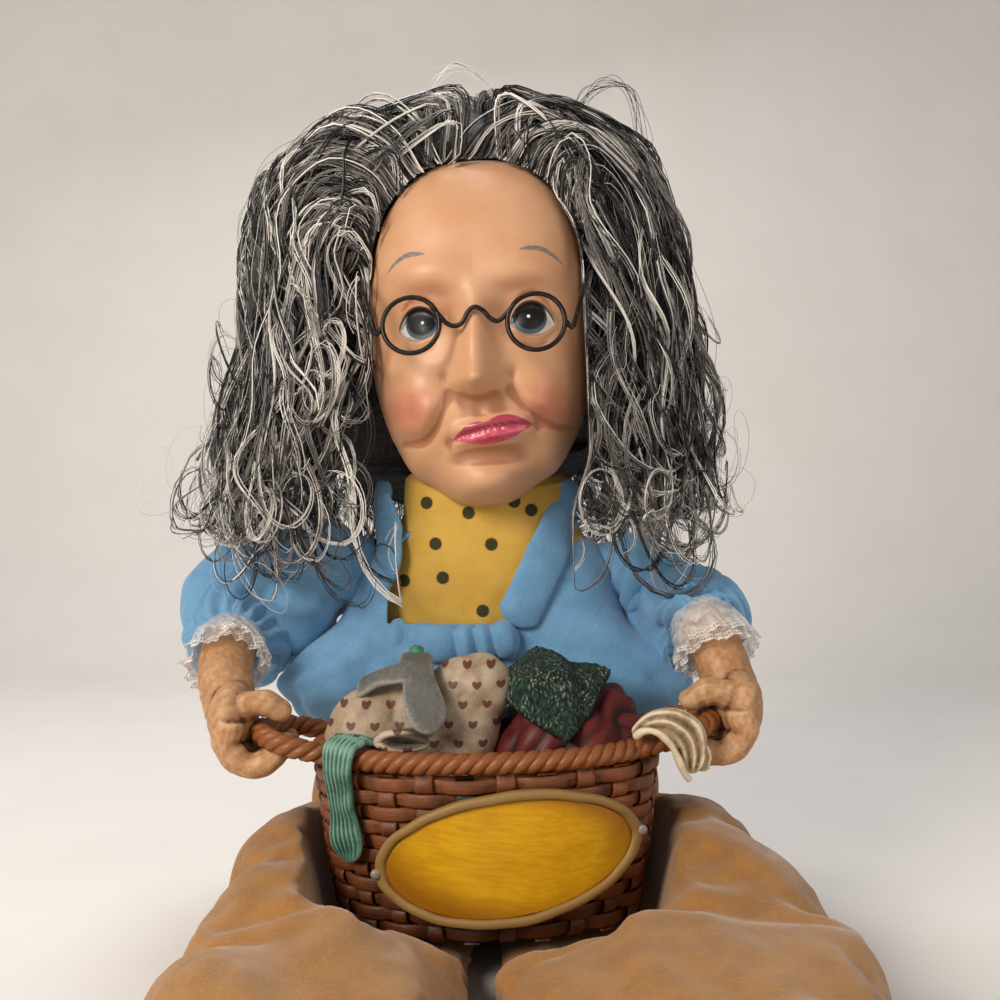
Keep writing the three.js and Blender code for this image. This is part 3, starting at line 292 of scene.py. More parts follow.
def mark_hollows(piece, steps, depth):
    """Stores how sunken each point is, 0.5 on a flat, so that dark wash and painted shade can go in the
    hollows.

    The surface is smoothed in steps, and a point that lies depth millimetres below it counts as 1.
    """
    mesh = piece.data
    count = len(mesh.vertices)
    place = np.zeros((count, 3), np.float32)
    normal = np.zeros((count, 3), np.float32)
    ends = np.zeros((len(mesh.edges), 2), np.int32)
    mesh.vertices.foreach_get("co", place.ravel())
    mesh.vertex_normals.foreach_get("vector", normal.ravel())
    mesh.edges.foreach_get("vertices", ends.ravel())
    links = np.maximum(np.bincount(ends.ravel(), minlength=count), 1)[:, None]
    soft = place.astype(float)
    for _ in range(steps):
        total = np.zeros_like(soft)
        for k in range(3):
            total[:, k] = np.bincount(ends[:, 0], soft[ends[:, 1], k], count)
            total[:, k] += np.bincount(ends[:, 1], soft[ends[:, 0], k], count)
        soft = total / links
    sunk = ((soft - place) * normal).sum(1) / (depth * MM)
    store = mesh.attributes.new("hollow", "FLOAT", "POINT")
    store.data.foreach_set("value", np.clip(0.5 + 0.5 * sunk, 0, 1).astype(np.float32))


def cast_piece(name, bm, paint, body, slot, node, steps, depth):
    """A piece of cast resin that stands for a solid, with its hollows marked for the wash and the painted
    shade.
    """
    piece = make_piece(name, bm, paint, body, slot)
    mark_hollows(piece, steps, depth)
    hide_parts(node)


# %% [markdown]
# Materials are built from nodes. A few effects are used by many of them, so they are shader node groups with
# named inputs and outputs: the nap of flannel, a dark wash with painted shade in the hollows of cast resin
# and pale paint with painted highlight on its ridges, and a painted patch with a soft edge. Each group only
# gives colours, masks and heights; every material keeps its own Principled BSDF.


# %% Helpers for materials
def tint(text):
    """A colour as painters write it on a chart, turned into the linear values that shading needs."""
    parts = [int(text[i : i + 2], 16) / 255 for i in (0, 2, 4)]
    return tuple((p / 12.92 if p < 0.04045 else ((p + 0.055) / 1.055) ** 2.4) for p in parts) + (1,)


def add_node(kind, inputs, tree=None, **settings):
    """A new node with its settings. An input is a value, or another node's output to link.

    The node goes into the tree of the first output that it is linked to, unless a tree is given.
    """
    if tree is None:
        tree = next(value.id_data for value in inputs.values() if isinstance(value, bpy.types.NodeSocket))
    node = tree.nodes.new(kind)
    for key, value in settings.items():
        setattr(node, key, value)
    for key, value in inputs.items():
        if isinstance(value, bpy.types.NodeSocket):
            tree.links.new(value, node.inputs[key])
        else:
            node.inputs[key].default_value = value
    return node


def calculate(operation, a, b=0.0, c=0.0):
    return add_node("ShaderNodeMath", {0: a, 1: b, 2: c}, operation=operation).outputs[0]


def times(a, b):
    return calculate("MULTIPLY", a, b)


def minus(a, b):
    return calculate("SUBTRACT", a, b)


def times_plus(a, b, c):
    return calculate("MULTIPLY_ADD", a, b, c)


def split(place):
    return add_node("ShaderNodeSeparateXYZ", {0: place}).outputs


def combined(x, y, z):
    return add_node("ShaderNodeCombineXYZ", {"X": x, "Y": y, "Z": z}).outputs[0]


def stretched(place, scale, turn=(0, 0, 0)):
    inputs = {"Vector": place, "Rotation": turn, "Scale": scale}
    return add_node("ShaderNodeMapping", inputs).outputs[0]


def mixed(share, a, b):
    """Two colours mixed, each a node's output or the text of a tint."""
    a, b = (tint(colour) if isinstance(colour, str) else colour for colour in (a, b))
    return add_node("ShaderNodeMix", {0: share, 6: a, 7: b}, data_type="RGBA").outputs[2]


def ramped(value, low, high, to_low=0.0, to_high=1.0, smooth=True):
    """A value led from one range to another, and held at its ends."""
    kind = "SMOOTHSTEP" if smooth else "LINEAR"
    inputs = {"Value": value, "From Min": low, "From Max": high, "To Min": to_low, "To Max": to_high}
    return add_node("ShaderNodeMapRange", inputs, interpolation_type=kind).outputs[0]


def noised(place, size, detail=2.0, rough=0.5):
    """Uneven values from 0 to 1 whose blotches are about size millimetres."""
    inputs = {"Vector": place, "Scale": 1 / size, "Detail": detail, "Roughness": rough}
    return add_node("ShaderNodeTexNoise", inputs).outputs["Fac"]


def banded(place, way, scale, distortion, detail, detail_scale):
    """Uneven bands from 0 to 1, as of threads or knitted rows."""
    inputs = {"Vector": place, "Scale": scale, "Distortion": distortion, "Detail": detail,
              "Detail Scale": detail_scale}
    return add_node("ShaderNodeTexWave", inputs, bands_direction=way).outputs["Fac"]


def new_group(name, inputs, outputs):
    """An empty node group, with what it is given and what it gives."""
    group = bpy.data.node_groups.new(name, "ShaderNodeTree")
    for way, sockets in (("INPUT", inputs), ("OUTPUT", outputs)):
        for label, kind in sockets.items():
            group.interface.new_socket(label, in_out=way, socket_type="NodeSocket" + kind)
    start = group.nodes.new("NodeGroupInput")
    end = group.nodes.new("NodeGroupOutput")
    return group, start.outputs, end.inputs


def use_group(group, inputs):
    return add_node("ShaderNodeGroup", inputs, node_tree=group).outputs


def place_mm(tree, middle, turn):
    """Object coordinates in millimetres, seen from a middle that may be turned."""
    spot = add_node("ShaderNodeTexCoord", {}, tree).outputs["Object"]
    inputs = {"Vector": spot, "Location": Vector(middle) * MM, "Rotation": turn, "Scale": (MM, MM, MM)}
    return add_node("ShaderNodeMapping", inputs, vector_type="TEXTURE").outputs[0]


def stored(place, name):
    """A value stored on a mesh's points, for the material that a place belongs to."""
    return add_node("ShaderNodeAttribute", {}, place.id_data, attribute_name=name).outputs["Fac"]


def new_material(name, middle=(0, 0, 0), turn=(0, 0, 0)):
    """An empty material, and the place that its nodes start from."""
    material = bpy.data.materials.new(name)
    material.use_nodes = True
    material.node_tree.nodes.clear()
    return material, place_mm(material.node_tree, middle, turn)


def principled(colour, roughness, height=None, strength=0.4, distance=0.3, **plain):
    """The material's own shader, with a bump whose distance is in millimetres."""
    inputs = {"Base Color": colour, "Roughness": roughness}
    if height is not None:
        bump = {"Strength": strength, "Distance": distance * MM, "Height": height}
        inputs["Normal"] = add_node("ShaderNodeBump", bump).outputs[0]
    for key, value in plain.items():
        inputs[key.replace("_", " ").title().replace("Ior", "IOR")] = value
    shader = add_node("ShaderNodeBsdfPrincipled", inputs)
    add_node("ShaderNodeOutputMaterial", {"Surface": shader.outputs[0]})


# %% Node group: flannel
THREAD_SCALE = 0.32 / 0.55
flannel_group, given, gives = new_group(
    "flannel", {"Place": "Vector", "Colour": "Color", "Deep": "Color", "Pile": "Color"},
    {"Colour": "Color", "Height": "Float"})
tree = flannel_group
wander = noised(given["Place"], 9.0, 3.0)
nap = noised(given["Place"], 1.1, 4.0, 0.7)
fuzz = noised(given["Place"], 0.32, 2.0)
threads = banded(given["Place"], "DIAGONAL", THREAD_SCALE, 3.0, 2.0, 2.0)
worn = mixed(ramped(wander, 0.35, 0.7, 0.0, 0.35), given["Colour"], given["Deep"])
lifted = times(ramped(nap, 0.45, 0.75), ramped(fuzz, 0.3, 0.8))
tree.links.new(mixed(times(lifted, 0.75), worn, given["Pile"]), gives["Colour"])
height = times_plus(nap, 0.8, times(fuzz, 0.5))
tree.links.new(times_plus(threads, 0.35, height), gives["Height"])
print("flannel group:", len(tree.nodes), "nodes")

# %% Node group: dark wash and painted shade in the hollows, pale paint and painted highlight on the ridges
wash_and_shade_group, given, gives = new_group(
    "wash_and_shade",
    {"Place": "Vector", "Hollow": "Float", "Colour": "Color", "Wash And Shade": "Color", "Wash And Shade Amount": "Float",
     "Ridge And Highlight": "Color", "Ridge And Highlight Amount": "Float", "Grain": "Float"},
    {"Colour": "Color"})
tree = wash_and_shade_group
fineness = calculate("DIVIDE", 1.0, given["Grain"])
inputs = {"Vector": given["Place"], "Scale": fineness, "Detail": 5.0, "Roughness": 0.65}
grain = add_node("ShaderNodeTexNoise", inputs).outputs["Fac"]
# The hollows get the dark wash, partly the resin's own wash and partly painted shade; the ridges get pale
# paint, partly painted highlight.
settled = times_plus(minus(grain, 0.5), 0.22, given["Hollow"])
sunk = ramped(settled, 0.5, 0.74)
ridge_and_highlight_mask = ramped(minus(1.0, settled), 0.52, 0.74)
uneven = mixed(ramped(grain, 0.35, 0.7, 0.0, 0.3), given["Colour"], given["Wash And Shade"])
washed_and_shaded = mixed(times(sunk, given["Wash And Shade Amount"]), uneven, given["Wash And Shade"])
ridged_and_highlit = mixed(times(ridge_and_highlight_mask, given["Ridge And Highlight Amount"]), washed_and_shaded, given["Ridge And Highlight"])
tree.links.new(ridged_and_highlit, gives["Colour"])
print("wash group:", len(tree.nodes), "nodes")

# %% Node group: a painted patch
patch_group, given, gives = new_group(
    "painted_patch",
    {"Place": "Vector", "X": "Float", "Z": "Float", "Half Width": "Float", "Half Height": "Float",
     "Turn": "Float", "Edge": "Float"},
    {"Mask": "Float"})
tree = patch_group
parts = split(given["Place"])
across = minus(parts["X"], given["X"])
rise = minus(parts["Z"], given["Z"])
cosine = calculate("COSINE", given["Turn"])
sine = calculate("SINE", given["Turn"])
turned_x = times_plus(across, cosine, times(rise, sine))
turned_z = minus(times(rise, cosine), times(across, sine))
wide = calculate("POWER", calculate("DIVIDE", turned_x, given["Half Width"]), 2.0)
high = calculate("POWER", calculate("DIVIDE", turned_z, given["Half Height"]), 2.0)
reach = calculate("SQRT", calculate("ADD", wide, high))
inner = minus(1.0, given["Edge"])
outer = calculate("ADD", 1.0, given["Edge"])
tree.links.new(ramped(reach, inner, outer, 1.0, 0.0), gives["Mask"])
print("patch group:", len(tree.nodes), "nodes")


def patch_on(place, x, z, half_width, half_height, edge, turn=0.0):
    """The mask of a painted oval patch."""
    inputs = {"Place": place, "X": x, "Z": z, "Half Width": half_width, "Half Height": half_height,
              "Turn": turn, "Edge": edge}
    return use_group(patch_group, inputs)["Mask"]


def washed_and_shaded_paint(place, hollow, colour, wash_and_shade, ridge_and_highlight, wash_and_shade_amount, ridge_and_highlight_amount, grain):
    inputs = {"Place": place, "Hollow": hollow, "Colour": tint(colour), "Wash And Shade": tint(wash_and_shade),
              "Wash And Shade Amount": wash_and_shade_amount, "Ridge And Highlight": tint(ridge_and_highlight), "Ridge And Highlight Amount": ridge_and_highlight_amount, "Grain": grain}
    return use_group(wash_and_shade_group, inputs)["Colour"]


# %% [markdown]
# The stage is a plain pale floor that bends up into a backdrop, and soft light: a large lamp from the left
# and front, as in the photograph, a weaker one from the right, one above for the hair, and a dim even sky.


# %% Stage and light
FLOOR_FRONT = -2000
FLOOR_RUN = 5000
FLOOR_WIDTH = 40000
BACKDROP_Y = 500
BACKDROP_BEND = 200
LAMP_AIM = (0, -30, 140)
SKY_STRENGTH = 0.3


def stage_material():
    material, place = new_material("pale_floor")
    grain = noised(place, 60.0, 4.0)
    principled(mixed(grain, "e2deda", "ebe8e4"), 0.85)
    return material


def floor_shape(u, v):
    run = FLOOR_FRONT + v * FLOOR_RUN
    turn = np.clip((run - BACKDROP_Y) / BACKDROP_BEND, 0, pi / 2)
    y = np.minimum(run, BACKDROP_Y + BACKDROP_BEND * np.sin(turn))
    climb = np.clip(run - BACKDROP_Y - BACKDROP_BEND * pi / 2, 0, None)
    return points_of((u - 0.5) * FLOOR_WIDTH, y, BACKDROP_BEND * (1 - np.cos(turn)) + climb)


floor = make_piece("floor", bent_grid(2, 200, floor_shape), stage_material())

# Place, size, power and colour of each lamp.
LAMPS = {
    "key_lamp": ((-620, -760, 620), 420, 9.8, "fff4e6"),
    "fill_lamp": ((640, -620, 330), 500, 1.6, "fff0e0"),
    "hair_lamp": ((-120, 240, 760), 360, 3.0, "ffffff"),
}
for name, (place, size, power, colour) in LAMPS.items():
    lamp = put_in_scene(name, bpy.data.lights.new(name, "AREA"))
    lamp.data.size = size * MM
    lamp.data.energy = power
    lamp.data.color = tint(colour)[:3]
    lamp.location = Vector(place) * MM
    aim = Vector(LAMP_AIM) * MM - lamp.location
    lamp.rotation_euler = aim.to_track_quat("-Z", "Y").to_euler()

sky = bpy.data.worlds.new("soft_sky")
bpy.context.scene.world = sky
sky.use_nodes = True
tree = sky.node_tree
sky_light = tree.nodes["Background"]
sky_light.inputs["Color"].default_value = tint("dfe3ea")
sky_light.inputs["Strength"].default_value = SKY_STRENGTH
# What the camera sees past the backdrop's edge is as pale as the backdrop.
sky_seen = add_node("ShaderNodeBackground", {"Color": tint("cfc8c0"), "Strength": 1.0}, tree)
seen = add_node("ShaderNodeLightPath", {}, tree).outputs["Is Camera Ray"]
either = {0: seen, 1: sky_light.outputs[0], 2: sky_seen.outputs[0]}
sky_mix = add_node("ShaderNodeMixShader", either)
tree.links.new(sky_mix.outputs[0], tree.nodes["World Output"].inputs["Surface"])
print("lamps:", ", ".join(LAMPS))

# %% [markdown]
# The head is one hollow resin casting with a painted face. It could be sculpted by hand, but a sculpt can't
# be written down. Here a fine ball is pushed into a squared-off egg, and the face is a sum of soft bells,
# grooves and ridges: nose, sockets, lids, cheeks, lips and chin. The ball's points are crowded to the front,
# where the small forms are.

# %% Head shape
HEAD_MIDDLE = np.array([-1.0, 2.0, 208.0])
HEAD_TURN = (0, radians(-2.5), radians(-3))
HEAD_HALF_WIDTH = 41
HEAD_HALF_DEPTH = 47
CROWN_HEIGHT = 62
JAW_HEIGHT = 52
SKULL_POWER = 2.5
CHIN_DROP = 6.5
JOWL_DROP = 4.2
NECK_FOOT = 138.4
NECK_RADIUS = 16.0
FACE_CROWDING = 1.45
head_matrix = (Matrix.Translation(HEAD_MIDDLE) @ Matrix.Rotation(HEAD_TURN[2], 4, "Z")
               @ Matrix.Rotation(HEAD_TURN[1], 4, "Y"))

EYE_X, EYE_Z = 18.8, -1.6
LID_TOP = [(-7.2, -1.3), (-5.4, 2.6), (-2.5, 4.9), (0.5, 5.5), (3.5, 4.5), (6.0, 1.7), (7.4, -1.4)]
LID_BOTTOM = [(-7.2, -1.3), (-4.5, -4.0), (-1.0, -5.4), (2.5, -5.2), (5.5, -3.6), (7.4, -1.4)]
MOUTH_MIDDLE = (4.0, -38.6)
MOUTH_TURN = radians(8.0)
LIP_TOP = [(-13.9, -0.3), (-10.5, 1.7), (-7.2, 3.5), (-4.0, 3.9), (-1.2, 3.4), (1.5, 4.3), (4.2, 4.8),
           (8.0, 4.0), (11.5, 2.0), (13.9, -0.1)]
LIP_BOTTOM = [(-13.9, -0.3), (-9.0, -2.1), (-5.0, -3.5), (-2.0, -3.9), (2.0, -3.8), (6.4, -3.1),
              (10.0, -1.8), (13.9, -0.1)]
LIP_PARTING = [(-13.9, -0.3), (-8.0, 0.5), (-1.0, 1.2), (5.0, 0.9), (13.9, -0.1)]
CHEEK_FOLD_RIGHT = [(-9.2, -25.0), (-12.5, -31.5), (-15.0, -36.5), (-20.0, -40.4), (-27.0, -40.2)]
CHEEK_FOLD_LEFT = [(10.4, -25.0), (16.4, -31.8), (22.0, -35.6), (27.0, -37.0), (33.0, -36.5)]
# Each soft form: how far it stands out, its place across and up, and its half width and half height.
PAIRED_FORMS = {
    "nostrils": (2.8, 7.4, -23.2, 3.6, 3.4),
    "grooves beside the nostrils": (-0.7, 11.4, -22.5, 1.7, 4.2),
    "brows": (2.2, 18, 15, 12, 6),
    "creases under the brows": (-1.2, 14, 8.5, 8, 2.6),
    "sockets": (-6.5, 18.5, 0, 10, 8.5),
    "inner corners": (-2.2, 9.5, 1, 4, 7),
    "eyeballs": (5.8, EYE_X, EYE_Z, 7.6, 6.4),
    "cheeks": (5.5, 23, -27, 12, 11),
    "jowls": (3.2, 25, -48, 9, 8),
}
SINGLE_FORMS = {
    "tip of the nose": (3.6, 0, -22, 5.4, 4.6),
    "mouth": (5.0, 1, -38, 16, 11),
    "chin": (12.0, 1, -57, 14.5, 9),
    "crease over the chin": (-1.5, 3, -47, 12, 3.2),
    "groove under the nose": (-0.5, 0.6, -30.2, 1.9, 3.2),
}
GROOVE_X = 0.6
GROOVE_FORMS = {"edges of the groove": (0.3, 3, -30.5, 1.6, 3)}


def curve_value(places, at):
    xs, ys = zip(*places)
    return np.interp(at, xs, ys)


def line_distance(x, z, places):
    """How far points are from a line of places, and on which side: positive above it."""
    best = np.full(x.shape, 1e9)
    side = np.zeros(x.shape)
    for (ax, az), (bx, bz) in zip(places, places[1:]):
        dx, dz = bx - ax, bz - az
        t = np.clip(((x - ax) * dx + (z - az) * dz) / (dx * dx + dz * dz), 0, 1)
        away = np.hypot(x - ax - t * dx, z - az - t * dz)
        closer = away < best
        best = np.where(closer, away, best)
        side = np.where(closer, np.sign((z - az) * abs(dx) - (x - ax) * dz * np.sign(dx)), side)
    return best, side


def mouth_place(x, z):
    dx, dz = x - MOUTH_MIDDLE[0], z - MOUTH_MIDDLE[1]
    along = dx * cos(MOUTH_TURN) + dz * sin(MOUTH_TURN)
    return along, dz * cos(MOUTH_TURN) - dx * sin(MOUTH_TURN)


def face_relief(x, z):
    """How far the face stands out of the plain egg."""
    far = np.abs(x)
    nose_long = ease(z - 0.06 * x**2, -28.6, -21.5) ** 0.7 * (1 - ease(z, -20, 17))
    nose_wide = mix(4.2, 7.2, 1 - ease(z, -20, 8))
    out = 10.5 * nose_long * hump(x, nose_wide)
    from_groove = np.abs(x - GROOVE_X)
    for across, forms in ((far, PAIRED_FORMS), (x, SINGLE_FORMS), (from_groove, GROOVE_FORMS)):
        for stand, *form in forms.values():
            out += stand * bell(across, z, *form)
    for places in (CHEEK_FOLD_RIGHT, CHEEK_FOLD_LEFT):
        fold = path_through([(a, 0, b) for a, b in places], 22)[:, [0, 2]]
        away, side = line_distance(x, z, fold)
        out -= 1.7 * (1 - 0.6 * ease(far, 19, 30)) * hump(away, 2.0)
        out += 1.8 * hump(away - 4.5, 3.6) * (side > 0) * (1 - ease(z, -31, -25))
    along, up = mouth_place(x, z)
    full = np.sqrt(np.clip(1 - (along / 14.2) ** 2, 0, 1))
    out += full * (3.0 * hump(up - 2.6, 2.0) + 3.4 * hump(up + 1.5, 2.2))
    out -= full**0.5 * 2.4 * hump(up - curve_value(LIP_PARTING, along), 0.6)
    out -= 1.2 * bell(np.abs(along), up, 15, -0.6, 2, 2)
    across, rise = far - EYE_X, z - EYE_Z
    top, bottom = curve_value(LID_TOP, across), curve_value(LID_BOTTOM, across)
    within = ease(top - rise, -0.25, 0.45) * ease(rise - bottom, -0.25, 0.45) * (np.abs(across) < 7.4)
    out += 1.3 * hump(rise - top - 0.9, 1.2) * ease(8.6 - np.abs(across), 0, 3)
    out += 0.7 * hump(rise - bottom + 0.9, 1.0) * ease(8.0 - np.abs(across), 0, 3)
    out -= 1.1 * hump(rise - top - 3.4, 0.8) * ease(8.0 - np.abs(across), 0, 4)
    out -= 0.8 * hump(rise - bottom + 3.6, 1.0) * ease(7.0 - np.abs(across), 0, 4)
    return out - 1.5 * within


def skull_sum(x, y, z):
    """Grows outward from the head's middle, and is 1 on the plain skull."""
    tall = np.where(z > 0, CROWN_HEIGHT, JAW_HEIGHT)
    return (np.abs(x / HEAD_HALF_WIDTH) ** SKULL_POWER + np.abs(y / HEAD_HALF_DEPTH) ** SKULL_POWER
            + np.abs(z / tall) ** SKULL_POWER)


def egg(direction, grow=0.0, face=True):
    """Points of the head in its own frame, from directions out of its middle."""
    size = skull_sum(*direction.T) ** (-1 / SKULL_POWER)
    point = direction * (size + grow)[:, None]
    front = ease(-direction[:, 1], 0.05, 0.45)
    point[:, 2] *= 1 + 0.17 * front * ease(-point[:, 2], 10, 40)
    across = np.abs(point[:, 0])
    chin = CHIN_DROP * np.exp(-((across / 17) ** 4)) + JOWL_DROP * hump(across - 25.5, 7)
    point[:, 2] -= chin * front * ease(-point[:, 2], 32, 56)
    if face:
        point[:, 1] -= front * face_relief(point[:, 0], point[:, 2])
    return point


def crowded(points):
    """Directions drawn towards the face, where the detail is."""
    x, y, z = unit(points).T
    away = np.arccos(np.clip(-y, -1, 1))
    nearer = pi * (away / pi) ** FACE_CROWDING
    ring = np.hypot(x, z)
    flat = np.sin(nearer) / np.where(ring < 1e-9, 1, ring)
    return points_of(x * flat, -np.cos(nearer), z * flat)


skull = lump((0, 0, 0), (1, 1, 1), detail=7)
moved(skull, lambda points: egg(crowded(points)))
bmesh.ops.transform(skull, matrix=head_matrix, verts=skull.verts)
neck_rings = path_through([(0, 0, NECK_FOOT), (0, 0, 152), (0, -1, 172)], 16)
neck = tube(neck_rings, NECK_RADIUS, around=40, up=(0, 1, 0))
print("head points:", len(skull.verts))

# %% [markdown]
# The face paint is put on as the maker did: a warm skin coat, a soft blush, then flat strokes for lips,
# brows, lids and eyes. Painted shade darkens the face's hollows, the eye sockets and the rims of the eye
# whites, and a painted highlight sits in each eye. Each stroke is the space between two curves over the
# face's own x and z, so its edge stays crisp however close one looks. A clear coat makes the eyes and lips
# shine.


# %% Face paint
def curve_over(value, places, low, high):
    """A height for each value, on a curve through a few places."""
    start, end = places[0][0], places[-1][0]
    node = add_node("ShaderNodeFloatCurve", {"Value": ramped(value, start, end, smooth=False)})
    line = node.mapping.curves[0]
    spots = [((u - start) / (end - start), (v - low) / (high - low)) for u, v in places]
    line.points[0].location = spots[0]
    line.points[1].location = spots[-1]
    for spot in spots[1:-1]:
        line.points.new(*spot)
    node.mapping.update()
    return times_plus(node.outputs[0], high - low, low)


def stroke(u, v, top, bottom, edge):
    """1 between two curves that share their ends, 0 outside."""
    low = min(p[1] for p in top + bottom) - 1
    high = max(p[1] for p in top + bottom) + 1
    under = minus(curve_over(u, top, low, high), v)
    over = minus(v, curve_over(u, bottom, low, high))
    inside = times(ramped(under, -edge, edge), ramped(over, -edge, edge))
    ends = times(ramped(u, top[0][0] - edge, top[0][0] + edge),
                     ramped(u, top[-1][0] - edge, top[-1][0] + edge, 1.0, 0.0))
    return times(inside, ends)


def shifted(places, by):
    return [(u, v + by) for u, v in places]


BROW_TOP = [(15.6, 21.3), (18.5, 22.6), (22.3, 22.8), (26.0, 21.2), (30.2, 16.6)]
BROW_BOTTOM = [(15.6, 21.2), (18.5, 21.1), (22.3, 21.0), (26.0, 19.5), (30.2, 16.5)]
IRIS_X, IRIS_Z = 18.1, -0.9


def face_material():
    material, place = new_material("painted_face", HEAD_MIDDLE, HEAD_TURN)
    parts = split(place)
    x, z = parts["X"], parts["Z"]
    front = ramped(parts["Y"], -22.0, -14.0, 1.0, 0.0)
    far = calculate("ABSOLUTE", x)
    mirrored = combined(far, parts["Y"], z)

    def patch(at_x, at_z, half_width, half_height, edge, both=True):
        return patch_on(mirrored if both else place, at_x, at_z, half_width, half_height, edge)

    blotch = noised(place, 16.0, 3.0)
    freckle = noised(place, 2.2, 4.0, 0.6)
    skin = mixed(ramped(blotch, 0.3, 0.7), "cf9a72", "d6a580")
    skin = mixed(ramped(freckle, 0.55, 0.8, 0.0, 0.18), skin, "b97b52")
    # Painted shade: the hollows of the face, under the nose, in the folds and round the eyes, are darkened.
    sunk = ramped(stored(place, "hollow"), 0.53, 0.8)
    skin = mixed(times(sunk, 0.62), skin, "8a4f30")
    # Painted shade in the eye sockets under the brows.
    socket_shade = times(patch(17.5, 4.5, 11.0, 6.5, 0.6), 0.34)
    skin = mixed(socket_shade, skin, "a56a45")
    blush_edge = times(patch(23.5, -30, 7.6, 6.8, 0.8),
                           ramped(freckle, 0.1, 0.6, 0.55, 0.95))
    skin = mixed(times(blush_edge, 0.55), skin, "c05a50")

    brow = stroke(far, z, BROW_TOP, BROW_BOTTOM, 0.25)
    streak = ramped(noised(place, 0.8, 3.0), 0.3, 0.6, 0.55, 1.0)
    painted = mixed(times(brow, streak), skin, "74706d")

    across = minus(far, EYE_X)
    rise = minus(z, EYE_Z)
    opening = stroke(across, rise, LID_TOP, LID_BOTTOM, 0.22)
    lid_line = stroke(across, rise, shifted(LID_TOP, 0.75), shifted(LID_TOP, -0.45), 0.3)
    lower_line = stroke(across, rise, shifted(LID_BOTTOM, 0.15), shifted(LID_BOTTOM, -0.4), 0.3)
    # The eye white is greyer towards the lids and corners: painted shade under the lids.
    ball = mixed(patch(EYE_X, EYE_Z - 0.6, 7.4, 5.6, 0.35), "8f8078", "d6d2cb")
    ball = mixed(patch(IRIS_X, IRIS_Z, 5.7, 5.7, 0.06), ball, "1c2c34")
    ball = mixed(patch(IRIS_X, IRIS_Z - 0.3, 5.3, 5.3, 0.12), ball, "4f6a78")
    ball = mixed(patch(IRIS_X, IRIS_Z + 0.8, 5.2, 5.1, 0.1), ball, "07090b")
    # A painted highlight in each eye.
    glint = calculate("MAXIMUM", patch(17.7, -0.6, 0.55, 0.55, 0.3, both=False),
                      patch(-17.8, -1.0, 0.55, 0.55, 0.3, both=False))
    ball = mixed(glint, ball, "ffffff")
    painted = mixed(opening, painted, ball)
    painted = mixed(times(lower_line, 0.5), painted, "9c6a55")
    painted = mixed(times(lid_line, 0.92), painted, "2c1d17")

    turn_x = minus(x, MOUTH_MIDDLE[0])
    turn_z = minus(z, MOUTH_MIDDLE[1])
    along = times_plus(turn_x, cos(MOUTH_TURN),
                      times(turn_z, sin(MOUTH_TURN)))
    up = times_plus(turn_z, cos(MOUTH_TURN),
                   times(turn_x, -sin(MOUTH_TURN)))
    lips = stroke(along, up, LIP_TOP, LIP_BOTTOM, 0.22)
    upper = stroke(along, up, LIP_TOP, LIP_PARTING, 0.3)
    pink = mixed(ramped(noised(place, 2.5, 4.0), 0.35, 0.7), "c8405c", "d9657c")
    pink = mixed(times(upper, 0.75), pink, "9c2840")
    painted = mixed(lips, painted, pink)
    colour = mixed(front, skin, painted)

    gloss = calculate("MAXIMUM", times(opening, 0.05), times(lips, 0.7))
    shine = times(gloss, front)
    grain = times_plus(freckle, 0.6, noised(place, 0.7, 2.0))
    roughness = ramped(blotch, 0.2, 0.8, 0.38, 0.5)
    principled(colour, roughness, grain, 0.06, 0.2, coat_weight=shine, coat_roughness=0.08,
               subsurface_weight=0.06, subsurface_radius=(0.004, 0.0016, 0.0008))
    return material


cast_piece("painted_head", joined(skull, neck), face_material(), "head", "face_resin", "head_shell",
           steps=14, depth=0.9)

# %% [markdown]
# The spectacles are one length of dark wire, bent round two rims with a wave over the nose and a sharp turn
# at each end, from which the arms run back into the hair. Tubes along smooth paths are the wire itself.

# %% Spectacles
LENS_RADIUS = 9.3
LENS_X = 20.3
LENS_Y = -53.4
LENS_Z = {-1: -3.4, 1: -4.3}
WIRE_RADIUS = 0.8


def wire(path, closed=False):
    return tube(path, WIRE_RADIUS, around=10, up=(0, 1, 0.02), closed=closed)


def lens_ring(side):
    angle = np.linspace(0, tau, 72, endpoint=False)
    x = side * LENS_X + LENS_RADIUS * np.cos(angle)
    return points_of(x, LENS_Y + 1.5 * np.sin(angle), LENS_Z[side] + LENS_RADIUS * np.sin(angle))


def temple_places(side):
    rim, z = LENS_X + LENS_RADIUS, LENS_Z[side]
    return [
        (side * (rim - 0.2), LENS_Y, z + 0.5), (side * (rim + 1.2), LENS_Y + 0.3, z - 1.6),
        (side * (rim + 2.4), LENS_Y + 1, z - 2.4), (side * (rim + 3.4), LENS_Y + 2.4, z + 0.5),
        (side * 35, LENS_Y + 5, z + 7), (side * 37.5, LENS_Y + 10, z + 15), (side * 41, -25, z + 22),
        (side * 43.5, -8, z + 27),
    ]


BRIDGE = [(-13.8, 6.6), (-11.0, 3.0), (-8.7, 0.4), (-6.2, -0.6), (-3.7, 0.4), (-1.7, 3.8), (0.5, 5.4),
          (3.2, 4.2), (5.6, 1.5), (8.1, 0.7), (11.0, 3.0), (13.8, 6.5)]
bridge_places = []
for x, z in BRIDGE:
    level = mix(LENS_Z[-1], LENS_Z[1], (x + LENS_X) / (2 * LENS_X))
    bridge_places.append((x, LENS_Y + 0.6, level + z))
rims = [wire(lens_ring(side), closed=True) for side in (-1, 1)]
temples = [wire(path_through(temple_places(side), 50)) for side in (-1, 1)]
spectacles = joined(*rims, wire(path_through(bridge_places, 60)), *temples)
bmesh.ops.transform(spectacles, matrix=head_matrix, verts=spectacles.verts)


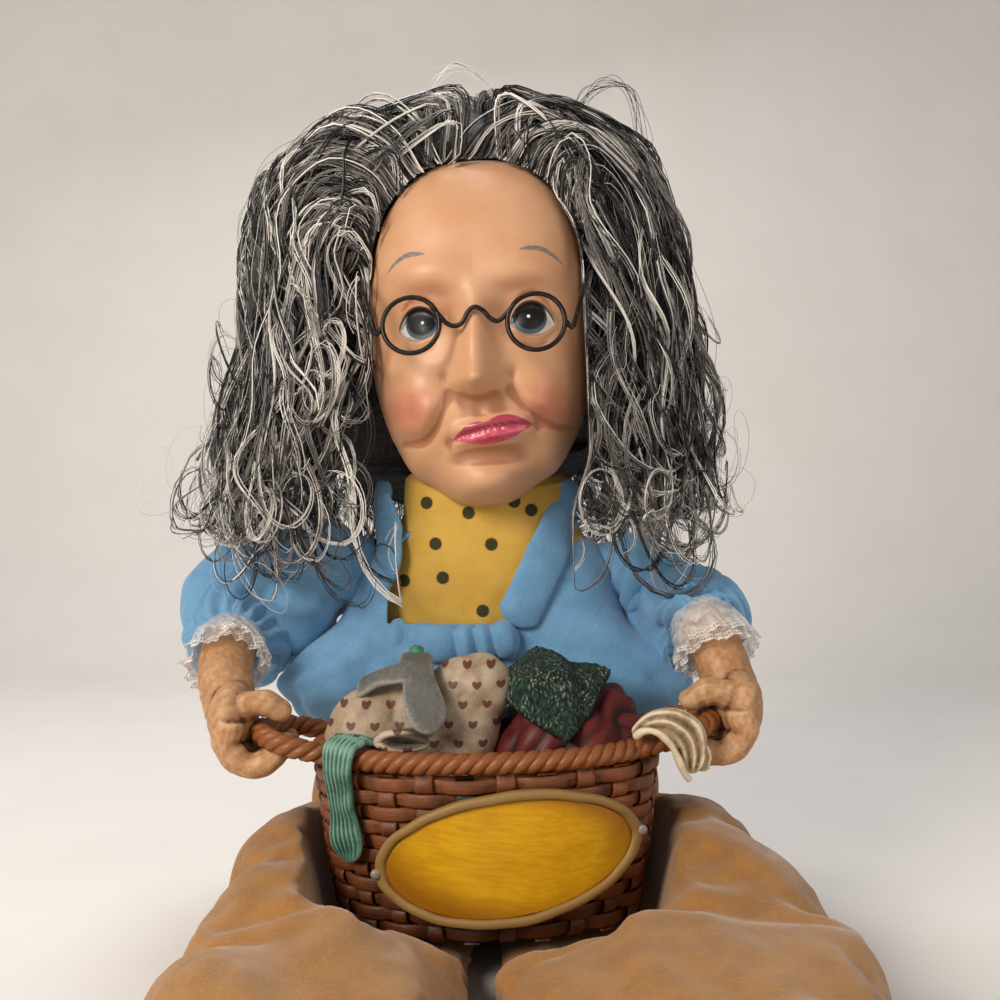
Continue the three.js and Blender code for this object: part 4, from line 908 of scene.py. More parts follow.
def wire_material():
    material, place = new_material("dark_wire")
    worn = noised(place, 2.0, 4.0)
    colour = mixed(ramped(worn, 0.5, 0.75), "17120f", "3a2c22")
    principled(colour, ramped(worn, 0.3, 0.7, 0.28, 0.45), worn, 0.1, 0.1, metallic=0.35)
    return material


glasses_piece = make_piece("bent_wire_glasses", spectacles, wire_material(), "head", "black_wire")
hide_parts("glasses_frame")

# %% [markdown]
# The wig is glossy fibre in black, grey and white, combed up from the hairline and falling in loose waves
# over the shoulders. A particle system could grow it, but its strands could not be exported. Here each lock
# has a path from the scalp, out to the mass of hair and down, and its strands are bevelled curves that follow
# that path with waves and curls of their own. A dark mass of under-hair fills the depth; its near-black is
# partly the wig's dark fibre and partly painted shade deep in the hair.

# %% Hair: the mass
# Height, right edge, left edge, front and back, all from the middle of the head.
HAIR_SECTIONS = np.array([
    (-97, -94, 84, -56, 46), (-74, -110, 92, -58, 54), (-56, -117, 94, -58, 58), (-30, -110, 92, -54, 60),
    (-5, -98, 86, -48, 60), (20, -92, 79, -44, 59), (45, -90, 74, -42, 57), (66, -79, 63, -38, 50),
    (80, -56, 50, -26, 38), (89, -22, 14, -8, 18),
], float)
FACE_HALF_WIDTH = 36.5
HAIRLINE = 56.0
COLLAR_REACH = 27.0
SHOULDER_FRONT = 38.0
SHOULDER_BACK = 36.0
SHOULDER_REST = -66.0


def hair_edge(z, turn, share=1.0):
    """A place on the mass of hair, at a height and an angle round the head."""
    right, left, front, back = columns_at(HAIR_SECTIONS, z)
    x = (left + right) / 2 + share * (left - right) / 2 * np.cos(turn)
    y = (front + back) / 2 + share * (back - front) / 2 * np.sin(turn)
    return points_of(x, y, z)


def kept_clear(points, turn=None):
    """Hair kept out of the head, the face, the collar and the shoulders, on its own side of each."""
    size = skull_sum(*points.T) ** (1 / SKULL_POWER)
    points = points * np.maximum(1, 1.03 / np.maximum(size, 0.05))[:, None]
    x, y, z = points.T
    above = z - HAIRLINE + FACE_HALF_WIDTH
    arch = np.where(above > 0, np.sqrt(np.clip(FACE_HALF_WIDTH**2 - above**2, 0, None)), FACE_HALF_WIDTH)
    arch = arch * (1 - 0.2 * ease(-z, 44, 70))
    before_face = ease(-y, 8, 16)
    side = np.where(x < 0, -1.0, 1.0) if turn is None else copysign(1, cos(turn))
    x = np.where(arch > 0, mix(x, side * np.maximum(side * x, arch), before_face), x)
    push = np.maximum(1, COLLAR_REACH / np.maximum(np.hypot(x, y), 1))
    push = mix(1.0, push, ease(-z, 42, 52))
    x, y = x * push, y * push
    lower = ease(-z, 46, 60)
    before = mix(y, np.minimum(y, -SHOULDER_FRONT), lower)
    behind = mix(y, np.maximum(y, SHOULDER_BACK), lower)
    if turn is None:
        return points_of(x, np.where(y < 0, before, behind), z)
    way = sin(turn)
    if abs(way) > 0.42:
        return points_of(x, before if way < 0 else behind, z)
    return points_of(x, y, np.maximum(z, SHOULDER_REST + 0.2 * (z - SHOULDER_REST)))


def from_front(turn):
    """How far an angle lies from the face, in degrees."""
    return np.abs((np.degrees(turn) - 90) % 360 - 180)


def under_hair_shape(u, v):
    turn = u * tau
    z = mix(mix(-44, -72, np.clip(np.sin(turn), 0, 1) ** 2), 86, v)
    opening = mix(36, 84, ease(-z, 26, 44))
    beside_face = ease(from_front(turn) - opening, 0, 16)
    share = 0.93 * np.sin(np.clip(v, 0, 1) * pi) ** 0.24
    share = share * mix(0.12, 1.0, np.maximum(beside_face, 0.62 * ease(z, 50, 62)))
    points = hair_edge(z, turn, share)
    wobble = 1 + 0.045 * np.cos(17 * turn + 3 * v) + 0.03 * np.cos(41 * turn - 5 * v)
    return points * points_of(wobble, wobble, 1.0)


under_hair = bent_grid(220, 70, under_hair_shape, wrap=True)
moved(under_hair, lambda points: np.where((points[:, 1] > 2)[:, None], kept_clear(points), points))
bmesh.ops.transform(under_hair, matrix=head_matrix, verts=under_hair.verts)
print("under-hair points:", len(under_hair.verts))

# %% Hair: paths of the locks
# Each sector of the head: the angles where its locks fall, how many there are, and how low they hang.
HAIR_SECTORS = {
    "hair_strands_right_front": (190, 240, 124, (-76, -36)),
    "hair_strands_right_side": (156, 194, 108, (-72, -24)),
    "hair_strands_right_back": (122, 158, 84, (-82, -40)),
    "hair_strands_back_right": (90, 124, 76, (-84, -45)),
    "hair_strands_back_left": (56, 92, 76, (-84, -45)),
    "hair_strands_left_back": (22, 58, 84, (-80, -40)),
    "hair_strands_left_side": (-14, 24, 108, (-70, -24)),
    "hair_strands_left_front": (-60, -10, 124, (-74, -34)),
}
PARTING_LEAN = radians(17)
HAIRLINE_SHARE = 0.78
LOCK_POINTS = 70
STRANDS_IN_LOCK = 6
STRAND_POINTS = 43
# The least and the most of what is drawn for each lock: curl in degrees, the rest in millimetres.
CURL_TURN = (140, 460)
CURL_RADIUS = (5, 12)
WAVE_LENGTH = (42, 85)
SWAY = (3, 11)
PUFF = (0, 4)
LOCK_HALF_WIDTH = (0.7, 2.3)
LOCK_HALF_DEPTH = (0.4, 0.9)


def hairline_root(draw, turn):
    """A root on the edge of the face: locks that fall close to it start low, others at the parting."""
    side = -1 if cos(turn) < 0 else 1
    close = np.clip((80 - from_front(turn)) / 50 + draw.uniform(-0.25, 0.2), 0, 1)
    lean = mix(-side * PARTING_LEAN, radians(92), close)
    x = side * (FACE_HALF_WIDTH + 0.6) * sin(lean)
    z = HAIRLINE + 1 - FACE_HALF_WIDTH * (1 - cos(lean)) - 14 * max(0, close - 0.8)
    tall = CROWN_HEIGHT if z > 0 else JAW_HEIGHT
    left_over = 1 - abs(x / HEAD_HALF_WIDTH) ** SKULL_POWER - abs(z / tall) ** SKULL_POWER
    return np.array([x, -HEAD_HALF_DEPTH * max(left_over, 0.02) ** (1 / SKULL_POWER), z]), close


def lock_path(draw, turn, layer, end):
    """A lock's middle line, from the scalp out over the mass of hair and down its side."""
    facing = ease(np.array(-sin(turn)), 0.05, 0.6).item()
    share = mix(0.66, 1.0, layer)
    if draw.random() < HAIRLINE_SHARE * facing:
        root, close = hairline_root(draw, turn)
        high = mix(70, 22, close) + draw.uniform(-8, 8)
        land = hair_edge(min(high, 78), turn, share)
        rise = np.array([0, -5, mix(17, 10, close)])
        places = [root, mix(root, land, 0.22) + 0.8 * rise, mix(root, land, 0.6) + rise, land]
    else:
        climb = radians(mix(20, 84, layer) + draw.uniform(-6, 6))
        climb = max(climb, radians(62) * facing)
        root_turn = turn + draw.uniform(-0.5, 0.5)
        flat = cos(climb)
        out = np.array([cos(root_turn) * flat, sin(root_turn) * flat, sin(climb)])
        root = egg(out[None, :], 0.5, face=False)[0]
        lift = root + out * mix(6, 13, layer) + np.array([0, 0, mix(6, 14, layer)])
        high = min(mix(40, 72, layer), lift[2] - 6)
        places = [root, lift, hair_edge(high, turn, share)]
    drift = draw.uniform(-0.2, 0.2)
    bulge = draw.uniform(-0.05, 0.05)
    for k, z in enumerate(np.linspace(high, end, 5)[1:]):
        wide = share * (mix(1.0, 0.9, k / 3) + bulge * sin(2.1 * k))
        places.append(hair_edge(z, turn + drift * (k + 1) / 4, wide))
    return path_through(places, LOCK_POINTS)


def curled_end(draw, path, turn):
    """The path with its end led round in a curl that lies flat against the mass of hair."""
    way = draw.choice([-1.0, 1.0])
    down = path[-1] - path[-4]
    down /= np.linalg.norm(down)
    across = np.array([-sin(turn), cos(turn), 0]) * way
    across -= down * across.dot(down)
    across /= np.linalg.norm(across)
    out = np.array([cos(turn), sin(turn), 0.2])
    round_by = radians(draw.uniform(*CURL_TURN))
    radius = draw.uniform(*CURL_RADIUS)
    step = round_by * radius * 1.35 / 40
    share = np.linspace(0, 1, 41)[1:]
    angle = round_by * share**1.5
    ahead, beside = np.cumsum(np.cos(angle) * step), np.cumsum(np.sin(angle) * step)
    curl = down * ahead[:, None] + across * beside[:, None]
    curl += out * (draw.uniform(-2, 6) * np.sin(pi * 0.6 * share))[:, None]
    return np.concatenate([path, path[-1] + curl])


def strands_of_lock(draw, path, turn):
    """Strands round a lock's middle line, spread at the root and gathered at the tip."""
    length = np.linalg.norm(np.diff(path, axis=0), axis=1).sum()
    waves = tau * length / draw.uniform(*WAVE_LENGTH)
    phase = np.linspace(0, waves, len(path)) + draw.uniform(0, tau)
    loosened = ease(np.linspace(0, 1, len(path)), 0.12, 0.5)
    sway = draw.uniform(*SWAY) * np.sin(phase) * loosened
    puff = draw.uniform(*PUFF) * np.cos(phase + draw.uniform(-0.5, 0.5)) * loosened
    across = np.array([-sin(turn), cos(turn), 0])
    out = np.array([cos(turn), sin(turn), 0])
    path = curled_end(draw, path + across * sway[:, None] + out * puff[:, None], turn)
    along = travelled(path)
    wide, deep = draw.uniform(*LOCK_HALF_WIDTH), draw.uniform(*LOCK_HALF_DEPTH)
    for _ in range(STRANDS_IN_LOCK):
        even = np.linspace(0, 1, STRAND_POINTS)
        reach = along[-1] * draw.uniform(0.82, 1.0)
        at = reach * (even - 0.06 * np.sin(tau * even))
        line = points_at(path, along, at)
        side, rise = frames_along(line, up=(-sin(turn), cos(turn), 0.1))
        gather = 1.25 - 0.6 * even
        a, b = draw.uniform(-1, 1, 2)
        loose = draw.uniform(0.1, 0.9) * np.sin(at / draw.uniform(9, 20) + draw.uniform(0, tau)) * even
        line = line + side * (deep * a * gather)[:, None] + rise * (wide * b * gather + loose)[:, None]
        yield kept_clear(line, turn)


def flyaway(draw):
    """A single loose strand that stands off the mass of hair."""
    turn = radians(draw.uniform(150, 390))
    if from_front(turn) < 48:
        turn = radians(draw.choice([200.0, 340.0]) + draw.uniform(-25, 25))
    path = lock_path(draw, turn, draw.uniform(0.8, 1.0), draw.uniform(-80, 20))
    path = curled_end(draw, path, turn)[::2]
    t = np.linspace(0, 1, len(path))[:, None]
    wander = np.stack([ripple(path, 50, draw.integers(1000), 4) for _ in range(3)], axis=1)
    path = path * (1 + draw.uniform(0.0, 0.06) * t) + wander * draw.uniform(2, 7) * t
    return kept_clear(path, turn)


# %% Hair: the strands
def strand_piece(name, strands, shades, radius, material):
    """Strands as thin three-sided tubes in one mesh, each with its own shade stored on its points."""
    section = bpy.data.curves.new("strand_section", "CURVE")
    corners = section.splines.new("POLY")
    corners.points.add(2)
    corners.use_cyclic_u = True
    for point, angle in zip(corners.points, (0, tau / 3, 2 * tau / 3)):
        point.co = (radius * MM * cos(angle), radius * MM * sin(angle), 0, 1)
    section_holder = put_in_scene("strand_section", section)
    curve = bpy.data.curves.new(name, "CURVE")
    curve.dimensions = "3D"
    curve.bevel_mode = "OBJECT"
    curve.bevel_object = section_holder
    curve.use_fill_caps = True
    for strand in strands:
        count = len(strand)
        spline = curve.splines.new("POLY")
        spline.points.add(count - 1)
        world = np.array([head_matrix @ Vector(p) for p in strand]) * MM
        spline.points.foreach_set("co", np.column_stack([world, np.ones(count)]).ravel())
        spline.points.foreach_set("radius", 1.0 - 0.6 * np.linspace(0, 1, count) ** 3)
    holder = put_in_scene("strand_curve", curve)
    depsgraph = bpy.context.evaluated_depsgraph_get()
    mesh = bpy.data.meshes.new_from_object(holder.evaluated_get(depsgraph))
    for spare in (holder, section_holder):
        bpy.data.objects.remove(spare)
    mesh.name = name
    mesh.shade_smooth()
    mesh.materials.clear()
    mesh.materials.append(material)
    # Three corners for each point of a strand, and three more for each of its closed ends.
    per_strand = [3 * len(strand) + 6 for strand in strands]
    store = mesh.attributes.new("shade", "FLOAT", "POINT")
    store.data.foreach_set("value", np.repeat(shades, per_strand).astype(np.float32))
    piece = put_in_scene(name, mesh)
    mesh.calc_loop_triangles()
    print(name, len(shades), "strands,", len(mesh.loop_triangles), "triangles")
    return piece


def hair_material():
    material, place = new_material("wig_fibre")
    uneven = minus(noised(place, 9.0, 2.0), 0.5)
    streak = times_plus(uneven, 0.35, stored(place, "shade"))
    colour = mixed(ramped(streak, 0.2, 0.5), "151518", "807b78")
    colour = mixed(ramped(streak, 0.6, 0.92), colour, "f6f2ec")
    principled(colour, ramped(streak, 0.0, 1.0, 0.26, 0.4), specular_ior_level=0.7)
    return material


def under_hair_material():
    material, place = new_material("under_hair")
    streak = noised(stretched(place, (1.0, 1.0, 0.12)), 1.3, 4.0, 0.65)
    # The under-hair's near-black is the wig's dark fibre and painted shade deep in the hair.
    colour = mixed(ramped(streak, 0.45, 0.75), "131315", "4a4846")
    principled(colour, 0.45, streak, 0.9, 1.2)
    return material


fibre = hair_material()
FLYAWAYS = 150
STRAND_RADIUS, FLYAWAY_RADIUS = 0.25, 0.11
# Dark, grey and white locks, and the share of each.
TONES = [(0.02, 0.2), (0.3, 0.55), (0.65, 1.0)]
TONE_SHARES = [0.36, 0.34, 0.3]
TONE_SPREAD = 0.09
draw = np.random.default_rng(7)
hair_pieces = {}
for name, (first, last, locks, (low, high)) in HAIR_SECTORS.items():
    strands, shades = [], []
    for _ in range(locks):
        turn = radians(draw.uniform(first, last))
        layer = draw.random() ** 0.6
        end = draw.uniform(low, high) if draw.random() < 0.75 else draw.uniform(high, high + 45)
        path = lock_path(draw, turn, layer, end)
        lock_shade = draw.choice([draw.uniform(*tone) for tone in TONES], p=TONE_SHARES)
        for strand in strands_of_lock(draw, path, turn):
            strands.append(strand)
            shades.append(np.clip(lock_shade + draw.normal(0, TONE_SPREAD), 0, 1))
    hair_pieces[name] = strand_piece(name, strands, shades, STRAND_RADIUS, fibre)
loose = [flyaway(draw) for _ in range(FLYAWAYS)]
tones = list(draw.random(FLYAWAYS))
LOOP_STRANDS = 10
WHITE_LOOP = [(-18, -10, 70), (-15, -14, 82), (-12, -16, 91), (-3, -16, 93.5), (6, -14, 87), (12, -12, 76)]
DARK_LOOP = [(34, -8, 66), (40, -14, 80), (50, -16, 86), (58, -16, 80), (60, -16, 62), (60, -18, 44)]
for places, tone in ((WHITE_LOOP, 0.95), (DARK_LOOP, 0.1)):
    for _ in range(LOOP_STRANDS):
        loose.append(path_through(np.array(places) + draw.normal(0, 1.5, (6, 3)), 40))
        tones.append(tone)
hair_pieces["hair_flyaways"] = strand_piece("hair_flyaways", loose, tones, FLYAWAY_RADIUS, fibre)
under_piece = make_piece("under_hair", under_hair, under_hair_material(), slot="wig_hair")
for piece in (*hair_pieces.values(), under_piece):
    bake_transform(piece)
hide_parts("wig_cap", "hair_crown")
for node in ("right_front", "right_back", "left_back", "left_front"):
    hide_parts("hair_" + node)

# %% [markdown]
# The top is a fine yellow knit with dark green dots and a soft turtleneck that rolls over under the chin. It
# is one tube of cloth round the stuffed chest, so one grid is bent round the chest's sections, and loose
# folds are added where the cloth is slack. The knit's rows and the dots are in the material.

# %% Knitted top
# Height, half width, half depth and middle of the stuffed chest.
CHEST = np.array([
    (25, 34, 22, 9), (36, 45, 29, 9), (60, 42, 25.8, 5.4), (82, 42, 23.4, 2.7), (122, 42, 21, 0),
    (131.6, 35.3, 19.5, 0), (138, 24, 18, 0),
], float)
TOP_PROFILE = np.array([
    (84, 43.6, 25.0, 2.6), (104, 43.8, 24.6, 1.3), (122, 43.8, 23.2, 0), (131, 38.4, 22.6, 0),
    (137, 33.4, 22.8, 0), (141, 31.2, 23.4, 0), (146, 30.4, 24.2, 0), (149.4, 29.8, 24.0, 0),
    (151.4, 27.8, 22.4, 0), (150.6, 25.4, 20.4, 0),
], float)
DOTS = [(-21, 146), (-6, 142.5), (10, 146.5), (16, 143.5), (-17.7, 131.6), (2, 131.5), (-29, 118.4),
        (-15, 119.8), (-1, 108.3), (24, 128), (13, 117), (30, 113), (-36, 133)]
DOT_RADIUS = 2.25


def chest_front(x, z, offset):
    """The front of a layer of clothes at a place across the chest."""
    half_width, half_depth, middle = columns_at(CHEST, z)
    share = np.minimum(np.abs(x) / (half_width + offset), 0.98)
    return middle - (half_depth + offset) * np.sqrt(1 - share**2)


def top_shape(u, v):
    z, half_width, half_depth, middle = along_rows(TOP_PROFILE, v)
    angle = u * tau
    points = points_of(half_width * np.cos(angle), middle + half_depth * np.sin(angle), z)
    slack = ease(z, 88, 100) * (1 - ease(z, 149, 151))
    fold = 0.6 * ripple(points * [1, 1, 0.45], 17, 5) + 1.7 * ripple(points * [1, 1, 0.6], 34, 6)
    fold = fold * slack
    lifted = 5.5 * np.abs(np.cos(angle)) ** 2 * ease(z, 139, 149)
    return points + points_of(fold * np.cos(angle), fold * np.sin(angle), lifted)


def knit_material():
    material, place = new_material("yellow_knit_with_dots")
    parts = split(place)
    rows = banded(place, "Z", 0.42, 1.6, 2.0, 1.5)
    ribs = banded(place, "X", 0.36, 1.0, 1.0, 1.0)
    fuzz = noised(place, 0.5, 3.0)
    shade = noised(place, 14.0, 3.0)
    yellow = mixed(ramped(shade, 0.3, 0.7), "cb9f3f", "d6ae4e")
    yellow = mixed(ramped(rows, 0.2, 0.8, 0.12, 0.0), yellow, "a37a24")
    yellow = mixed(ramped(fuzz, 0.5, 0.8, 0.0, 0.25), yellow, "ecd188")
    wobble = times_plus(minus(fuzz, 0.5), 0.5, parts["X"])
    worn_place = combined(wobble, parts["Y"], parts["Z"])
    dots = None
    for x, z in DOTS:
        dot = patch_on(worn_place, x, z, DOT_RADIUS, DOT_RADIUS, 0.12)
        dots = dot if dots is None else calculate("MAXIMUM", dots, dot)
    front = ramped(parts["Y"], -8.0, -4.0, 1.0, 0.0)
    dots = times(dots, front)
    ink = mixed(ramped(fuzz, 0.4, 0.8), "0c1a0e", "1d2e1a")
    colour = mixed(times(dots, 0.95), yellow, ink)
    height = times_plus(rows, 0.4, times_plus(ribs, 0.4, fuzz))
    principled(colour, 0.9, height, 0.35, 0.35, sheen_weight=0.12, sheen_roughness=0.5)
    return material


top_cloth = bent_grid(160, 110, top_shape, wrap=True)
top_piece = make_piece("knitted_top", top_cloth, knit_material(), "torso", "yellow_knit")
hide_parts("shirt_top", "shirt_collar", "neck_tie")

# %% [markdown]
# The robe is soft blue flannel. Its body is one tube of cloth whose top edge dips in front, where the knit
# shows; turned-back lapels and a gathered edge lie round that opening. The sleeves are full and creased.
# Folds are worked into the grids with waves of several lengths, as a sculptor would crease clay.


# %% Robe body
def flannel_material(name, colour, deep, pile):
    material, place = new_material(name)
    inputs = {"Place": place, "Colour": tint(colour), "Deep": tint(deep), "Pile": tint(pile)}
    cloth = use_group(flannel_group, inputs)
    principled(cloth["Colour"], 0.92, cloth["Height"], 0.3, 0.5, sheen_weight=0.35, sheen_roughness=0.45)
    return material


ROBE_HEM = 54
OPENING_BOTTOM = 104.0
ROBE_TOP = 138.0
OPENING_RISE = 34
ROBE_STAND = 5.2
ROBE_FULLNESS = 19
ROBE_THICKNESS = 1.2
blue_flannel = flannel_material("blue_flannel", "6a9cc4", "477aa0", "94bddb")


def robe_shape(u, v):
    angle = u * tau
    x_front = 47.8 * np.cos(angle)
    in_front = np.sin(angle) < 0
    slant = OPENING_BOTTOM + np.clip((x_front - 9) / 26, 0, 1) * OPENING_RISE
    slant = np.maximum(slant, OPENING_BOTTOM + np.clip((-x_front - 30) / 9, 0, 1) * OPENING_RISE)
    edge = np.where(x_front > 36, ROBE_TOP, slant)
    top = np.where(in_front, edge, ROBE_TOP)
    z = mix(ROBE_HEM, top, v)
    half_width, half_depth, middle = columns_at(CHEST, z)
    from_middle = np.abs(np.degrees(angle) - 270)
    bloused = hump(from_middle - 58, 27) * hump(z - 90, 19)
    flared = hump(from_middle - 68, 24) * (1 - ease(z, 78, 104)) * ease(z, 52, 72)
    reach = ROBE_STAND + ROBE_FULLNESS * bloused + ROBE_FULLNESS * flared
    points = points_of((half_width + reach) * np.cos(angle), middle + (half_depth + reach) * np.sin(angle), z)
    gather = 0.8 * np.cos(34 * angle + 2 * np.sin(3 * angle)) * (1 - ease(z, 84, 100)) * ease(z, 61, 66)
    crease = 2 * np.abs(ripple(points * [1, 1, 0.7], 30, 22)) - 1
    slope = (0.55 * np.abs(points[:, 0]) + points[:, 2]) * pi / 19 + 0.9 * ripple(points, 34, 23)
    drape = 2 * np.abs(np.sin(slope)) - 1
    full = np.maximum(bloused, 0.6 * flared)
    soft = 0.9 * ripple(points * [1, 1, 0.5], 20, 21) + full * (2.6 * crease + 1.5 * drape)
    fold = gather + soft * ease(z, 55, 66)
    return points + points_of(fold * np.cos(angle), fold * np.sin(angle), 0)


robe_cloth = bent_grid(240, 70, robe_shape, wrap=True)
bmesh.ops.solidify(robe_cloth, geom=robe_cloth.faces[:], thickness=ROBE_THICKNESS)
robe_piece = make_piece("robe_cloth", robe_cloth, blue_flannel, "torso", "blue_flannel")
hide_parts("robe_bodice", "body_bag")


# %% Lapels and gathered edge
BAND_POINTS = 90


def band_on_chest(places, widths, half_thick, creases, seed, stand):
    """A soft rolled band that lies on the chest along a few places, with its half width at each end."""
    spots = [(x, chest_front(np.array(x), np.array(z), stand), z) for x, z in places]
    path = path_through(spots, BAND_POINTS)
    ahead = unit(np.gradient(path, axis=0))
    out = points_of(path[:, 0] / 47**2, (path[:, 1] - 1) / 27**2, 0 * path[:, 0])
    out = unit(out - ahead * (out * ahead).sum(1)[:, None])
    wide = np.cross(out, ahead)

    def shape(u, v):
        index, angle = row_and_angle(u, v, BAND_POINTS - 1)
        ends = np.clip(np.minimum(v, 1 - v) * 16, 0, 1) ** 0.5
        tuck = np.abs(np.cos(tau * 2.6 * v + 0.25 * np.cos(angle) + 1.2 * np.sin(tau * 1.4 * v)))
        pucker = 1 + creases * (2 * tuck - 1)
        a = mix(*widths, v) * (1 + 0.3 * (pucker - 1)) * np.cos(angle) * ends
        b = half_thick * pucker * np.sin(angle) * ends
        points = path[index] + wide[index] * a[:, None] + out[index] * b[:, None]
        return points + out[index] * (0.5 * ripple(points, 16, seed))[:, None]

    return bent_grid(44, BAND_POINTS - 1, shape, wrap=True)


# Name, solid, places, half widths, half thickness, depth of the creases, seed and distance from the chest.
BANDS = [
    ("turned_lapel_right", "robe_lapel_right",
     [(-38.5, 100), (-39.5, 112.5), (-35, 125), (-34.5, 134), (-38, 147), (-36, 154)],
     (3.8, 8.6), 2.2, 0.04, 31, 7.4),
    ("turned_lapel_left", "robe_lapel_left",
     [(9.5, 103.5), (13.5, 111.5), (19.5, 124), (23.5, 132.5), (28, 142.5), (33, 153)],
     (7.4, 7.6), 2.0, 0.04, 32, 7.4),
    ("gathered_edge", "robe_front_ruffle",
     [(-36, 100), (-28, 98.5), (-12, 97.4), (2, 98.4), (12, 99.8)],
     (6.0, 6.0), 3.4, 0.45, 33, 8.4),
]
for name, node, *form in BANDS:
    piece = make_piece(name, band_on_chest(*form), blue_flannel, "torso", "blue_flannel")
    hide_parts(node)

# %% Arms: the line that sleeve, cuff and hand follow
BASKET_FOOT = np.array([2.0, -60.0, 16.5])
BASKET_ROLL = radians(-1.5)
BASKET_HEIGHT = 54.0
RIM_HALF = np.array([52.0, 28.0])
HANDLE_REACH, HANDLE_HALF_SPAN, HANDLE_RISE = 19.0, 14.0, 6.0
basket_matrix = Matrix.Translation(BASKET_FOOT) @ Matrix.Rotation(BASKET_ROLL, 4, "Y")
ARMS = {
    "right": dict(side=-1, sleeve=22.0, elbow=(-87, -3, 105), wrist=(-86, -42, 93), seed=41,
                  cut=(0.15, 0.095), frill=(0.18, 0.018)),
    "left": dict(side=1, sleeve=17.5, elbow=(68, -6, 108), wrist=(74, -40, 103), seed=43,
                 cut=(0.12, 0.082), frill=(0.18, 0.0145)),
}
SLEEVE_FULLNESS = [0.62, 0.92, 1.06, 1.12, 1.04, 0.84, 0.6]
SHOULDER_HEIGHT = 122
UPPER_ARM_HEIGHT = 120


def on_lap(points):
    return np.array([basket_matrix @ Vector(p) for p in np.atleast_2d(points)])


def handle_places(side):
    root = RIM_HALF[0] * sqrt(1 - (HANDLE_HALF_SPAN / RIM_HALF[1]) ** 2)
    tip = RIM_HALF[0] + HANDLE_REACH
    bow = mix(root, tip, 0.65)
    lift = BASKET_HEIGHT + 0.7 * HANDLE_RISE
    return [(side * root, -HANDLE_HALF_SPAN, BASKET_HEIGHT), (side * bow, -HANDLE_HALF_SPAN, lift),
            (side * tip, 0, BASKET_HEIGHT + HANDLE_RISE), (side * bow, HANDLE_HALF_SPAN, lift),
            (side * root, HANDLE_HALF_SPAN, BASKET_HEIGHT)]


def arm_line(arm, count):
    side = arm["side"]
    grip = on_lap([(side * (RIM_HALF[0] + HANDLE_REACH), 0, BASKET_HEIGHT + HANDLE_RISE)])[0]
    palm = grip + np.array([side * 8.8, 1, 4])
    shoulder = np.array([side * 48.2, 0, SHOULDER_HEIGHT])
    elbow = np.array(arm["elbow"], float)
    upper = mix(shoulder, elbow, 0.4)
    upper[2] = UPPER_ARM_HEIGHT
    return path_through([shoulder, upper, elbow, arm["wrist"], palm], count), grip, palm


# %% Sleeves
ARM_POINTS = 200
SLEEVE_POINTS = 132
HIDDEN_POINTS = 10


def sleeve_mesh(arm):
    """A full sleeve. Its first few points lie hidden inside the robe."""
    path = arm_line(arm, ARM_POINTS)[0][:SLEEVE_POINTS]
    start = np.array([arm["side"] * -9, 0, 2.0])
    path = np.vstack([path[0] + start * np.linspace(1, 0.1, HIDDEN_POINTS)[:, None], path])
    count = len(path)
    side, rise = frames_along(path, up=(0, 1, 0.2))

    def shape(u, v):
        index, angle = row_and_angle(u, v, count - 1)
        row = v * count
        t = np.clip((row - HIDDEN_POINTS) / (count - HIDDEN_POINTS), 0, 1)
        full = arm["sleeve"] * np.interp(t, np.linspace(0, 1, len(SLEEVE_FULLNESS)), SLEEVE_FULLNESS)
        radius = np.where(row < HIDDEN_POINTS, mix(0.4 * arm["sleeve"], full, row / HIDDEN_POINTS), full)
        out = outward(side[index], rise[index], angle)
        points = path[index] + out * radius[:, None]
        crease = blunt(np.sin(5 * angle + 7 * t + 1.6 * np.sin(8 * t + angle)), 0.7)
        gather = np.cos(17 * angle + 3 * t) * ease(t, 0.7, 0.96)
        slack = 2 * np.abs(ripple(points * [1, 1, 0.8], 34, arm["seed"])) - 1
        depth = 1.4 * crease * ease(t, 0.08, 0.3) + 1.1 * gather + 2.4 * slack + 0.5 * ripple(points, 14, 40)
        points = points + out * (depth * ease(t, 0.0, 0.12))[:, None]
        sag = 4.0 * np.sin(pi * t) * ease(-out[:, 2], 0.1, 0.9)
        tuck = np.where(index == count - 1, 0.62, 1.0)
        points = path[index] + (points - path[index]) * tuck[:, None]
        return points - points_of(0, 0, sag)

    return bent_grid(110, count - 1, shape, wrap=True)


for name, arm in ARMS.items():
    piece = make_piece("full_sleeve_" + name, sleeve_mesh(arm), blue_flannel, slot="blue_flannel")
    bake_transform(piece)
    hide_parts("sleeve_" + name, "arm_" + name)

# %% [markdown]
# Each sleeve ends in a narrow frill of sheer white lace, two layers deep. Each layer is a grid round the
# wrist that flares and waves. The material's alpha makes it a thin cloudy net with a band of threads at its
# edge.


# %% Lace cuffs
def lace_material():
    material, place = new_material("white_lace")
    cut = add_node("ShaderNodeUVMap", {}, material.node_tree, uv_map="cut").outputs[0]
    stretch = stretched(cut, (110.0, 14.0, 1.0))
    cells = {"Vector": stretch, "Scale": 1.0, "Randomness": 0.35}
    mesh_holes = add_node("ShaderNodeTexVoronoi", cells, voronoi_dimensions="2D",
                          feature="DISTANCE_TO_EDGE").outputs[0]
    along = split(cut)["Y"]
    hem = ramped(along, 0.8, 0.9)
    lace_threads = ramped(mesh_holes, 0.1, 0.2, 0.8, 0.22)
    cloudy = noised(place, 3.0, 4.0)
    net = ramped(cloudy, 0.3, 0.7, 0.26, 0.48)
    colour = mixed(ramped(cloudy, 0.3, 0.7), "dcd6d2", "f6f3ef")
    alpha = add_node("ShaderNodeMix", {0: hem, 2: net, 3: lace_threads}).outputs[0]
    principled(colour, 0.85, mesh_holes, 0.3, 0.2, alpha=alpha, sheen_weight=0.2)
    return material


FINE_ARM_POINTS = 400
